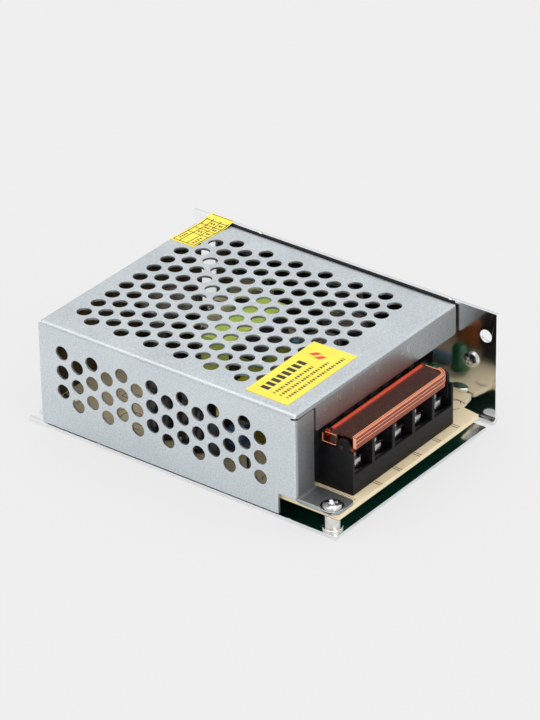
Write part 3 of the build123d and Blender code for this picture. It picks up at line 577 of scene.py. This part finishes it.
def slab(outline, lo, hi, bevel=0.12, level=False):
    """An outline in X and Z carried along Y from lo to hi, or a level one carried
    up: two rings in full and two more pulled in by the bevel, closed at each end."""
    ring = np.asarray(outline, float)
    run = np.roll(ring, -1, 0) - np.roll(ring, 1, 0)
    out = np.c_[run[:, 1], -run[:, 0]] / np.maximum(np.linalg.norm(run, axis=1, keepdims=True), 1e-9)
    area = np.sum(ring[:, 0] * np.roll(ring[:, 1], -1) - np.roll(ring[:, 0], -1) * ring[:, 1])
    inner = ring - np.sign(area) * out * bevel
    rows = [(inner, lo), (ring, lo + bevel), (ring, hi - bevel), (inner, hi)]
    grid = np.vstack([np.c_[p, np.full(len(p), h)] for p, h in rows])
    n = len(ring)
    faces = [list(f) for f in weave(4, n, ring=True)] + [list(range(n))] + [list(range(3 * n, 4 * n))]
    return grid[:, (0, 1, 2) if level else (0, 2, 1)], faces


BLOCK_Y0, BLOCK_Y1 = -26.95, 20.95
PITCH = 9.5
CELLS = [-22.0 + PITCH * i for i in range(5)]
FLOOR_Z, WALLS_Z = 12.3, 11.5
HX, HZ = 43.2, 24.0
parts = [
    bar((38, BLOCK_Y0, BOARD_Z1), (52.1, BLOCK_Y1, FLOOR_Z), 0.2),
    bar((38.02, BLOCK_Y0 + 0.02, WALLS_Z), (41.5, BLOCK_Y1 - 0.02, 22.5), 0.2),
    bar((50.9, BLOCK_Y0 + 0.02, WALLS_Z), (52.08, BLOCK_Y1 - 0.02, 13.6)),
    bar((38.04, BLOCK_Y0 + 0.01, WALLS_Z), (52.07, BLOCK_Y0 + 0.87, 20.8)),
    bar((38.04, BLOCK_Y1 - 0.87, WALLS_Z), (52.07, BLOCK_Y1 - 0.01, 20.8)),
]
parts += [bar((38.04, y + PITCH / 2 - 0.65, WALLS_Z), (52.06, y + PITCH / 2 + 0.65, 21.4))
          for y in CELLS[:-1]]
parts += [bar((40.4, y - 1.3, 22.2), (41.9, y + 1.3, 25.35), 0.25)
          for y in (-21.8, -15.4, -9.2, -3.1, 2.8, 8.9, 15.0)]
post_outline = np.vstack([(46.4, 16.0), (50.85, 16.0), circle(48.85, 22.2, 2.0, 9, 0, np.pi / 2),
                          circle(48.4, 22.2, 2.0, 9, np.pi / 2, np.pi / 2)])
parts += [slab(post_outline, BLOCK_Y0, BLOCK_Y0 + 1.2), slab(post_outline, BLOCK_Y1 - 1.2, BLOCK_Y1)]
EAR_R = 1.3
ear_outline = np.vstack([(41.2, 20.4), (HX + EAR_R, 20.4), circle(HX, HZ, EAR_R, 15, 0, np.pi),
                         (HX - EAR_R, 22.4), (41.2, 22.4)])
parts += [slab(ear_outline, y, y + 1.2, 0.08) for y in (-25.85, 18.65)]
block_black = mottled("block_black", (0.0035, 0.0036, 0.0042), (0.0075, 0.0077, 0.009), 500, (0.4, 0.55), 0.1,
                      Specular_IOR_Level=0.2)
piece("terminal_block_finished", *together(*parts), block_black, stands_for=("terminal_block",), smooth=40)
# The hinge holes in the posts are flat dark discs: painted shade.
hole_shade = mottled("post_hole_shadow", (0.004, 0.002, 0.002), (0.03, 0.008, 0.006), 800, (0.4, 0.5))
piece("post_hole_shades", *together(*(
    turned([(0, a), (0.62, a), (0.7, b), (0.62, c), (0, c)], 48.0, 21.65, 24, face)
    for a, b, c, face in ((-0.02, 0.03, 0.06, BLOCK_Y0), (-0.06, -0.03, 0.0, BLOCK_Y1)))), hole_shade)


# Terminals. In each cell a plated contact lies on the floor, a clamp plate with
# a folded tongue sits over it, and a cross-recessed screw passes through both.
# Both metals are much darker than bare plating: painted shade for the deep cells under the lid.
plated = mottled("shaded_contact_plating", (0.10, 0.10, 0.09), (0.22, 0.21, 0.18), 500, (0.2, 0.35), 0.05, 1.0)
steel = mottled("nickel_steel", (0.24, 0.25, 0.26), (0.55, 0.56, 0.56), 800, (0.14, 0.3), 0.08, 1.0)
CLAMP_TOP = 16.5
for i, y in enumerate(CELLS, 1):
    piece(f"contact_{i}", *together(
        bar((42.2, y - 3.5, FLOOR_Z), (50.5, y + 3.5, 13.1), 0.12),
        bar((42.4, y - 0.5, 4.6), (43.4, y + 0.5, FLOOR_Z + 0.4), 0.1)),
        plated, stands_for=(f"terminal_contact_{i}",))
    piece(f"clamp_plate_{i}", *together(
        bar((42.7, y - 3.5, 15.7), (49.6, y + 3.5, CLAMP_TOP), 0.18),
        bar((49.4, y - 1.5, 13.2), (50.2, y + 1.5, 16.48), 0.3)),
        steel, body=f"clamp_{i}", stands_for=(f"terminal_clamp_{i}",))
    piece(f"clamp_screw_{i}", *together(
        pan_head(46.2, y, CLAMP_TOP, 3.1, 2.5, spin=0.5 + 0.9 * i),
        turned([(0, 9.5), (1.2, 9.5), (1.45, 9.9), (1.45, 16.6), (0, 16.6)], 46.2, y, 24)),
        steel, body=f"screw_{i}", stands_for=(f"terminal_screw_{i}",))


# Terminal lid. Clear orange moulding: a thin plate with a stepped front lip, a
# rim at each end, a round bead on the hinge line and a cheek with a pin at
# each end. It swings up from the front.
clear_orange = shader("clear_orange", (0.62, 0.16, 0.06), 0.05, Transmission_Weight=0.96, IOR=1.46,
                      Specular_IOR_Level=0.10)[0]
lip_orange = shader("lip_orange", (0.60, 0.105, 0.028), 0.08, Transmission_Weight=0.72, IOR=1.46,
                    Specular_IOR_Level=0.4)[0]
bead_orange = shader("bead_orange", (0.74, 0.07, 0.018), 0.16, Transmission_Weight=0.2, IOR=1.46)[0]
# A bright, faintly glowing orange: painted highlight for the lid's shining edges.
edge_highlight = shader("edge_highlight", (0.94, 0.42, 0.24), 0.2, Transmission_Weight=0.15,
                     Emission_Color=(0.9, 0.3, 0.14, 1.0), Emission_Strength=0.12)[0]
LID_Y0, LID_Y1 = BLOCK_Y0 + 1.25, BLOCK_Y1 - 2.5
PLATE_Z0, PLATE_Z1 = 24.45, 25.0
corner = 2.6
plan = np.vstack([(43.9, LID_Y0), (51.5, LID_Y0), (51.5, LID_Y1 - corner),
                  circle(51.5 - corner, LID_Y1 - corner, corner, 9, 0, np.pi / 2), (43.9, LID_Y1)])
piece("lid_plate", *slab(plan, PLATE_Z0, PLATE_Z1, 0.06, level=True), clear_orange, body="lid",
      stands_for=("terminal_lid",))

# The lip runs along the front and round the corner by the lamp: one closed
# profile carried along a path, turned square to it at every point.
lip = np.array([(0.0, PLATE_Z0), (0.0, 21.85), (0.12, 21.65), (0.85, 21.65), (1.0, 21.8), (1.0, 23.1),
                (0.88, 23.2), (0.88, 23.5), (1.0, 23.6), (1.0, 25.15), (0.85, 25.38), (0.6, 25.4),
                (0.5, 25.25), (0.3, 25.25), (0.2, 25.4), (-0.1, 25.4), (-0.2, 25.25), (-0.2, 24.6)])
arc_path = circle(51.3 - corner, LID_Y1 - corner - 0.3, corner, 9, 0, np.pi / 2)
path = np.vstack([(51.3, LID_Y0), (51.3, LID_Y0 + 0.3), (51.3, LID_Y1 - corner - 0.5), arc_path,
                  (51.3 - corner - 0.3, LID_Y1 - 0.3)])


def along(path, section):
    """A section of (out, height) pairs set square to a level path at each of its
    points, out being to the path's right; both ends are closed by the section."""
    run = np.gradient(path, axis=0)
    out = np.c_[run[:, 1], -run[:, 0]] / np.linalg.norm(run, axis=1, keepdims=True)
    grid = np.empty((len(path), len(section), 3))
    grid[..., :2] = path[:, None, :] + out[:, None, :] * section[None, :, 0:1]
    grid[..., 2] = section[None, :, 1]
    n, m = grid.shape[:2]
    return grid.reshape(-1, 3), [*weave(n, m, ring=True).tolist(), list(range(m)),
                                 list(range((n - 1) * m, n * m))]


piece("lid_lip", *along(path, lip), lip_orange, body="lid", smooth=28)

# Painted highlights: where light leaves the clear moulding its edges shine, so fine
# lines of a bright, faintly glowing colour run along the lip, the far rim and the near cheek.
glint = np.array([(-0.09, -0.07), (0.09, -0.07), (0.09, 0.07), (-0.09, 0.07)])
lines = [along(path, glint + at) for at in
         ((-0.08, 25.4), (0.30, 25.31), (0.78, 25.37), (0.98, 24.5), (0.96, 23.3), (0.6, 21.68))]
lines.append(along(np.array([(44.2, LID_Y1 - 0.02), (46.5, LID_Y1 - 0.02), (48.9, LID_Y1 - 0.12)]),
                   glint * 1.3 + (0.0, 24.98)))
lines += [bar((HX - 0.6, BLOCK_Y0, 24.75), (46.3, BLOCK_Y0 + 0.22, 24.95), 0.05),
          bar((41.8, BLOCK_Y0, 21.52), (46.2, BLOCK_Y0 + 0.25, 21.75), 0.05),
          bar((41.7, BLOCK_Y0, 21.6), (41.9, BLOCK_Y0 + 0.25, 24.2), 0.05),
          bar((51.32, LID_Y0 - 0.04, 21.9), (52.3, LID_Y0 + 0.02, 25.2), 0.01)]
piece("lid_highlight_lines", *together(*lines), edge_highlight, body="lid")

BEAD = 0.85
tip_in, tip_out = BLOCK_Y0 + 0.4, LID_Y1 - 0.2
bead_end = [(0, tip_in), (BEAD - 0.15, tip_in), (BEAD, tip_in + 0.15), (BEAD, tip_out - 0.15),
            (BEAD - 0.15, tip_out), (0, tip_out)]


def lying(profile, lift, count):
    """A turned shape whose axis runs along Y, a lift above the hinge line; its
    heights become places along Y."""
    pts, fcs = turned(profile, 0, 0, count)
    return np.c_[HX + pts[:, 0], pts[:, 2], HZ + lift + pts[:, 1]], fcs


web = bar((43.2, tip_in, 24.4), (44.3, tip_out, 24.95), 0.1)
piece("lid_bead", *together(lying(bead_end, 0.35, 24), web), bead_orange, body="lid", smooth=30)
cheek = np.vstack([(HX - 1.5, 21.55), (46.2, 21.55), (46.2, 24.9), (HX + 0.9, 24.95),
                   circle(HX, HZ, 1.5, 9, np.radians(45), np.radians(125))])
pins = [lying([(0, a), (0.8, a), (0.8, b), (0, b)], 0, 20)
        for a, b in ((BLOCK_Y0 + 0.6, -24.5), (LID_Y1 - 0.5, 19.4))]
piece("lid_cheeks", *together(slab(cheek, BLOCK_Y0 + 0.03, BLOCK_Y0 + 0.98, bevel=0.1),
                              bar((44.0, BLOCK_Y0 + 0.05, 24.46), (46.25, LID_Y0 + 0.1, 24.96), 0.08),
                              slab(cheek, LID_Y1 - 0.7, LID_Y1, bevel=0.1), *pins), clear_orange, body="lid")


# Cover. One blank of galvanised sheet, 0.8 mm thick, with 182 vents, folded
# along the top's long edge and at both ends; the tab folds from the side, turns
# out at its foot and takes the foot screw.
TOP, LONG_R, END_R, FOOT_R = 35.0, 1.1, 1.0, 0.7
X0, X1, FOOT_X = -49.6, 41.6, 54.8
fold_y, fold_x1, fold_x0 = Y_EDGE + LONG_R, X1 - END_R, X0 + END_R
LONG_ARC, END_ARC, FOOT_ARC = (r * np.pi / 2 for r in (LONG_R, END_R, FOOT_R))
VENT_R = 2.25


def side_v(z):
    """Flat-blank coordinate of a height on the cover's long side."""
    return fold_y - LONG_ARC - (TOP - LONG_R - z)


def end_u(z):
    """Flat-blank coordinate of a height on the terminal flap."""
    return fold_x1 + END_ARC + (TOP - END_R - z)


def far_u(z):
    """Flat-blank coordinate of a height on the far flap."""
    return fold_x0 - END_ARC - (TOP - END_R - z)


def tab_u(y):
    """Flat-blank coordinate of a place across the tab beside the terminals."""
    return fold_x1 + END_ARC + (y - Y_EDGE - END_R)


foot_fold = side_v(FOOT_Z + FOOT_R)
foot_run = foot_fold - FOOT_ARC - (FOOT_X - X1 - FOOT_R)
tab_in, tab_out = tab_u(-38.0), tab_u(-30.6)
outline = np.vstack([
    (X0 + END_R * 0.1, 37.3), (far_u(34.9) + 1.0, 37.3), (far_u(34.9) + 1.0, 33.0), (far_u(8.5) + 1, 33.0),
    (far_u(8.5), 32.0), (far_u(8.5), -36.9), (far_u(8.5) + 1, -37.8), (fold_x0, -37.8),
    (fold_x0, fold_y - LONG_ARC * 0.6), (X0, fold_y - LONG_ARC * 0.8), (X0, side_v(1.6)),
    (35.3, side_v(1.6)), (35.3, side_v(8.2)), (fold_x1, side_v(8.2)), (tab_in, side_v(8.2)),
    (tab_in, foot_run + 1.6), circle(tab_in + 1.6, foot_run + 1.6, 1.6, 9, np.pi, np.pi / 2),
    circle(tab_in + 6.9, foot_run + 1.6, 1.6, 9, -np.pi / 2, np.pi / 2), (tab_in + 8.5, side_v(8.2)),
    (tab_out, side_v(8.9)), (tab_out, side_v(33.0)), (tab_out - 0.4, side_v(33.4)),
    (fold_x1, side_v(33.4)), circle(fold_x1 - 0.35, side_v(33.55), 0.38, 7, -np.pi / 2, -np.pi),
    (fold_x1 + 0.4, fold_y - LONG_ARC * 0.86), (fold_x1 + END_ARC * 0.62, fold_y - LONG_ARC * 0.62),
    (fold_x1 + END_ARC * 1.02, fold_y - 0.1), (end_u(33.55), fold_y + 0.3), (end_u(33.55), -30.0),
    (end_u(33.2), -29.7), (end_u(26.7), -29.7), circle(end_u(25.7) - 1, -28.7, 1.0, 7, -np.pi / 2, np.pi / 2),
    circle(end_u(25.7) - 1, 36.0, 1.0, 7, 0, np.pi / 2), (fold_x1 + END_ARC * 0.5, 37.0),
    (fold_x1 + END_ARC * 0.3, 37.3),
])
vents = [circle(-42.1 + 5.36 * k, (-27.5 if k % 2 == 0 else -30.65) + 6.35 * j, VENT_R, 26)
         for k in range(14) for j in range(10)]
vents += [circle(-41.3 + 5.43 * k, side_v((14.3 if k % 2 == 0 else 11.35) + 6.3 * j), VENT_R, 26)
          for k in range(14) for j in range(3)]
foot_hole = circle(tab_u(POSTS[0][1]), foot_run + FOOT_X - POSTS[0][0], 1.7, 20)
folds = bend_lines((X0, fold_y), (fold_x1, fold_y), (0, -1), LONG_ARC)
folds += bend_lines((fold_x1, -37.8), (fold_x1, 36.9), (1, 0), END_ARC)
folds += bend_lines((fold_x0, -37.8), (fold_x0, 32.9), (-1, 0), END_ARC)
folds += bend_lines((fold_x1, side_v(8.3)), (fold_x1, side_v(33.3)), (1, 0), END_ARC)
folds += bend_lines((tab_in + 0.05, foot_fold), (tab_out - 0.05, foot_fold), (0, -1), FOOT_ARC)
flat, tris = blank(outline, folds, [*vents, foot_hole])

# Fold the blank. Where a point lies past a fold line it goes round that bend;
# past the long fold and the end fold at once it is either on the tab, which
# turns towards the wall, or in the small rounded corner above the slit.
u, v = flat.T
past_end, past_far = np.maximum(u - fold_x1, 0), np.maximum(fold_x0 - u, 0)
past_long = np.maximum(fold_y - v, 0)
on_y, down_long = bend(past_long, LONG_R)
on_x, down_end = bend(past_end, END_R)
far_x, down_far = bend(past_far, END_R)
beside = past_long > LONG_ARC * 0.999
x = np.clip(u, fold_x0, fold_x1) + on_x - far_x
x = np.where(past_long > 0, np.where(u < fold_x0, u, x), x)
y = np.where(past_long > 0, fold_y - on_y, v)
z = TOP - down_long - np.where(beside, 0, down_end) - np.where(past_long > 0, 0, down_far)
y = np.where(beside & (past_end > 0), Y_EDGE + down_end, y)
past_foot = np.maximum(FOOT_Z + FOOT_R - z, 0) * (beside & (u > tab_in - 0.6))
foot_down, foot_out = bend(past_foot, FOOT_R)
x = np.where(past_foot > 0, X1 + foot_out, x)
z = np.where(past_foot > 0, FOOT_Z + FOOT_R - foot_down, z)


def galvanised():
    """Zinc on steel: a fine noise and a broad one set the tone, the broad one the
    gloss, and the fine one a faint relief. The terminal flap is painted darker as a
    whole: painted shade for the dim surroundings it mirrors."""
    mat, nodes, links, bsdf = shader("galvanised_sheet", srgb(196, 202, 208), 0.42, 1.0)
    where, parts = add_node(nodes, "TexCoord"), add_node(nodes, "SeparateXYZ")
    fine = add_node(nodes, "TexNoise", Scale=2100, Detail=3)
    broad = add_node(nodes, "TexNoise", Scale=60, Detail=5)
    for user in (parts, fine, broad):
        links.new(where.outputs["Object"], user.inputs["Vector"])
    grain = arithmetic(nodes, "MULTIPLY_ADD", 0.95)
    links.new(fine.outputs["Fac"], grain.inputs[0])
    tone = arithmetic(nodes, "MULTIPLY", 0.35)
    links.new(broad.outputs["Fac"], tone.inputs[0])
    links.new(tone.outputs[0], grain.inputs[2])
    ramp = ramp_of(nodes, srgb(186, 193, 198), srgb(222, 228, 231), 0.38, 0.92)
    links.new(grain.outputs[0], ramp.inputs["Fac"])
    # Painted shade: past this X the terminal flap is made darker.
    flap_shade = arithmetic(nodes, "GREATER_THAN", (X1 - 0.25) * MM)
    links.new(parts.outputs["X"], flap_shade.inputs[0])
    dim = add_node(nodes, "Mix")
    dim.data_type = "RGBA"
    dim.blend_type = "MULTIPLY"
    dim.inputs["B"].default_value = (0.59, 0.585, 0.575, 1)
    links.new(flap_shade.outputs[0], dim.inputs["Factor"])
    links.new(ramp.outputs["Color"], dim.inputs["A"])
    links.new(dim.outputs["Result"], bsdf.inputs["Base Color"])
    span = add_node(nodes, "MapRange", To_Min=0.36, To_Max=0.56)
    links.new(broad.outputs["Fac"], span.inputs["Value"])
    links.new(span.outputs["Result"], bsdf.inputs["Roughness"])
    relief = add_node(nodes, "Bump", Strength=0.16, Distance=0.0001)
    links.new(fine.outputs["Fac"], relief.inputs["Height"])
    links.new(relief.outputs["Normal"], bsdf.inputs["Normal"])
    return mat


cover = piece("cover", np.c_[x, y, z], tris, galvanised(), stands_for=("perforated_cover",), smooth=30)
thicken(cover, COVER_T, 0.06, (0, -0.5, 1))


# Terminal marks. Plain line, neutral, earth, minus and plus signs, stamped into
# the flap over the terminals: fine bright strokes on its outer face.
stamped = mottled("stamped_bright", (0.62, 0.62, 0.62), (0.85, 0.85, 0.84), 900, (0.25, 0.4), metal=1.0)
ell, en = [(0, 2.4), (0, 0), (1.4, 0)], [(0, 0), (0, 2.4), (1.5, 0), (1.5, 2.4)]
vee, dash = [(0, 2.4), (0.8, 0), (1.6, 2.4)], [(0, 0), (1.2, 0)]
signs = [(-25.9, 30.6, ell), (-19.7, 30.4, en), (-1.8, 31.0, vee), (13.0, 30.5, vee), (-4.9, 32.0, dash),
         (10.1, 31.4, dash), (10.7, 31.4, [(0, -0.6), (0, 0.6)])]
signs += [(-13.2, 30.1, line) for line in ([(0.8, 2.4), (0.8, 1.2)], [(0, 1.2), (1.6, 1.2)],
                                           [(0.3, 0.7), (1.3, 0.7)], [(0.6, 0.2), (1.0, 0.2)])]
marks = []
for y, z, line in signs:
    for start, end in zip(line[:-1], line[1:]):
        pts, fcs = straight(*start, *end, 0.13, 0.0)
        marks.append((np.c_[np.full(len(pts), X1 + 0.025), y + pts[:, 0], z + pts[:, 1]], fcs))
piece("terminal_marks", *together(*marks), stamped)


# Painted shade. Thin black sheets stand inside the tall wall, at the foot of the near
# side and in the slit by the tab, only so that the gaps look dark. The far end is
# lined with a brown sheet: painted shade for the dim inside seen there.
gap_shade_black = mottled("gap_shade_black", (0.006, 0.006, 0.007), (0.012, 0.012, 0.013), 300, (0.45, 0.6), 0.05,
                     Specular_IOR_Level=0.2)
# Painted shade: black sheets that keep the gaps and the inside of the wall dark.
piece("gap_shade_film", *together(
    bar((-48.4, 37.34, 31.5), (40.4, 37.78, 35.5), 0.05), bar((-39.5, 37.66, 7.5), (33.0, 37.79, 31.6), 0.03),
    bar((-48.6, -38.18, 1.25), (35.1, -38.06, 5.2), 0.03),
    bar((40.5, -33.5, 9.0), (40.75, -27.5, 33.0), 0.03)), gap_shade_black)
# Painted shade: a dull brown sheet that darkens the inside of the far end.
far_end_shade = mottled("brown_painted_shade", srgb(58, 48, 34), srgb(92, 76, 52), 220, (0.5, 0.7), 0.1,
                Specular_IOR_Level=0.25)
piece("far_end_shade_sheet", *bar((-48.75, -37.6, 5.8), (-48.6, 34.4, 33.9), 0.03), far_end_shade)


# Labels. Two yellow films: a plain one with bars near the terminals, and a
# small grid that bridges the cover's back edge and the top of the wall.
yellow_film = mottled("yellow_film", srgb(246, 220, 66), srgb(252, 230, 80), 180, (0.38, 0.5), 0.03)
red_ink = mottled("red_ink", srgb(222, 46, 34), srgb(238, 64, 46), 500, (0.4, 0.5))


def film(corners, thick):
    """A level film between four corners, going down from them by its thickness."""
    top = np.asarray(corners, float)
    around = [(i, (i + 1) % 4, (i + 1) % 4 + 4, i + 4) for i in range(4)]
    return np.vstack([top, top - (0, 0, thick)]), [(0, 1, 2, 3), (7, 6, 5, 4), *around]


LABEL_Z = 35.1
label = [(x, y, LABEL_Z) for x, y in ((21.8, -35.4), (36.4, -35.4), (36.1, -2.8), (21.2, -3.2))]
piece("front_label_film", *film(label, 0.09), yellow_film, stands_for=("front_label",))


def on_label(du, dv, w, h, skew=0.0):
    """A bar on the label: du across its width and dv along its length from the
    corner nearest the camera's left, w by h, sheared by skew."""
    x, y = 22.0 + du, -35.0 + dv
    ring = ((x, y), (x + w, y), (x + w + skew, y + h), (x + skew, y + h))
    return film([(*at, LABEL_Z + 0.02) for at in ring], 0.02)


bars = [on_label(2.2, 3.0 + 2.35 * i, 2.9, 1.5) for i in range(8)]
for row, count in ((6.9, 17), (9.1, 21), (11.4, 25)):
    bars += [on_label(row, 2.6 + 1.08 * i, 0.95, 0.62 if i % 4 else 0.4) for i in range(count)]
piece("front_label_bars", *together(*bars), ink)
piece("front_label_mark", *together(on_label(2.0, 25.4, 1.9, 2.0, 1.6), on_label(4.4, 24.6, 1.9, 2.0, 1.6)),
      red_ink)

# The small label's run: seven (y, height) pairs from the cover's top, up over its
# back edge and onto the wall's. It lies a little askew.
strip = np.array([(20.6, 35.02), (28, 35.02), (33.4, 35.04), (36.0, 35.4), (37.6, 35.78), (38.1, 35.89),
                  (39.0, 35.9)])
SKEW = 0.065
lower = np.array([(x + SKEW * (y - strip[0, 0]), y, z) for y, z in strip for x in (-49.2, -44.8, -40.5)])
quads = weave(7, 3)
skirt = np.r_[np.arange(7) * 3, [19], np.arange(6, -1, -1) * 3 + 2, [1]]
after = np.roll(skirt, -1)
sides = np.c_[skirt, after, after + 21, skirt + 21]
piece("date_label_film", np.vstack([lower, lower + (0, 0, 0.08)]),
      np.vstack([quads[:, ::-1], quads + 21, sides]).tolist(), yellow_film, stands_for=("date_label",))


def on_strip(x0, y0, x1, y1, width=0.28):
    """A printed line on the small label: nine points, sheared as the label lies,
    and lifted to the height that the label's run has at each of them."""
    run = np.c_[np.linspace(x0, x1, 9), np.linspace(y0, y1, 9)]
    run[:, 0] += SKEW * (run[:, 1] - strip[0, 0]) - 0.2
    pts, fcs = stroke(run, width, 0.0)
    pts[:, 2] = np.interp(pts[:, 1], strip[:, 0], strip[:, 1]) + 0.095
    return pts, fcs


grid_lines = [on_strip(x, 21.4, x, 38.6) for x in (-48.3, -46.2, -43.4, -40.7)]
grid_lines += [on_strip(-48.3, y, -40.7, y) for y in (21.4, 27.6, 30.6, 33.4, 36.0, 38.6)]
grid_lines += [on_strip(x, y, x, y + 0.9, 0.5)
               for x in (-45.4, -44.5, -42.5, -41.8) for y in (28.7, 31.6, 34.3)]
grid_lines += [on_strip(-42.4, 22.6 + 1.1 * i, -41.5, 22.6 + 1.1 * i, 0.55) for i in range(4)]
grid_lines += [on_strip(-47.6, 23.2 + 0.9 * i, -46.9, 23.2 + 0.9 * i, 0.5) for i in range(4)]
piece("date_label_lines", *together(*grid_lines), ink)


# Setting: a pale floor, soft light from above and from the terminals' side, and
# the camera.
def setting():
    """The floor is plain and diffuse for the light. The camera sees four fifths of
    its own even tone and one fifth of the light on it, so shadows stay faint. The
    room is brighter overhead than at the floor."""
    floor_mesh = bpy.data.meshes.new("floor")
    floor_mesh.from_pydata([(-9, -9, 0), (9, -9, 0), (9, 9, 0), (-9, 9, 0)], [], [(0, 1, 2, 3)])
    floor = bpy.data.objects.new("floor", floor_mesh)
    bpy.context.collection.objects.link(floor)
    pale, nodes, links, bsdf = shader("pale_floor", srgb(236, 236, 236), 0.9, Specular_IOR_Level=0.0)
    own = add_node(nodes, "Emission", Color=(*srgb(234, 234, 234), 1))
    blend, seen = add_node(nodes, "MixShader"), add_node(nodes, "LightPath")
    share = arithmetic(nodes, "MULTIPLY", 0.80)
    links.new(seen.outputs["Is Camera Ray"], share.inputs[0])
    links.new(share.outputs[0], blend.inputs["Fac"])
    links.new(bsdf.outputs["BSDF"], blend.inputs[1])
    links.new(own.outputs["Emission"], blend.inputs[2])
    links.new(blend.outputs["Shader"], nodes["Material Output"].inputs["Surface"])
    floor_mesh.materials.append(pale)
    world = bpy.data.worlds.new("soft_room")
    bpy.context.scene.world = world
    world.use_nodes = True
    nodes, links = world.node_tree.nodes, world.node_tree.links
    nodes["Background"].inputs["Color"].default_value = (1.0, 1.0, 1.0, 1.0)
    towards, height = add_node(nodes, "TexCoord"), add_node(nodes, "SeparateXYZ")
    sky = add_node(nodes, "MapRange", From_Max=0.9, To_Min=0.50, To_Max=1.15)
    links.new(towards.outputs["Generated"], height.inputs["Vector"])
    links.new(height.outputs["Z"], sky.inputs["Value"])
    links.new(sky.outputs["Result"], nodes["Background"].inputs["Strength"])
    for name, place, size, watts, colour in (
            ("window", (-0.15, -0.25, 1.4), 1.9, 7.0, (1.0, 0.99, 0.97)),
            ("fill", (0.95, -0.35, 0.55), 0.8, 1.6, (0.96, 0.98, 1.0))):
        lamp = bpy.data.lights.new(name, "AREA")
        lamp.size = size
        lamp.energy = watts
        lamp.color = colour
        ob = bpy.data.objects.new(name, lamp)
        ob.location = place
        ob.rotation_euler = (Vector((0, 0, 0.015)) - Vector(place)).to_track_quat("-Z", "Y").to_euler()
        bpy.context.collection.objects.link(ob)


setting()

# The camera stands where the photograph's edges place it: its axes to the right,
# up and back, and its place in metres.
camera = bpy.data.objects.new("camera", bpy.data.cameras.new("camera"))
camera.data.lens = 208.17
camera.data.sensor_width = 36.0
camera.data.shift_x = 0.0601
camera.data.shift_y = 0.0408
camera.data.clip_start = 0.05
right = Vector((0.790051, 0.612683, -0.02094))
up = Vector((-0.296932, 0.412329, 0.861288))
back = Vector((0.536331, -0.674243, 0.507686))
turned_to = Matrix((right, up, back)).transposed().to_4x4()
camera.matrix_world = Matrix.Translation((0.631163, -0.809702, 0.615871)) @ turned_to
bpy.context.collection.objects.link(camera)
scene = bpy.context.scene
scene.camera = camera
scene.view_settings.view_transform = "Standard"
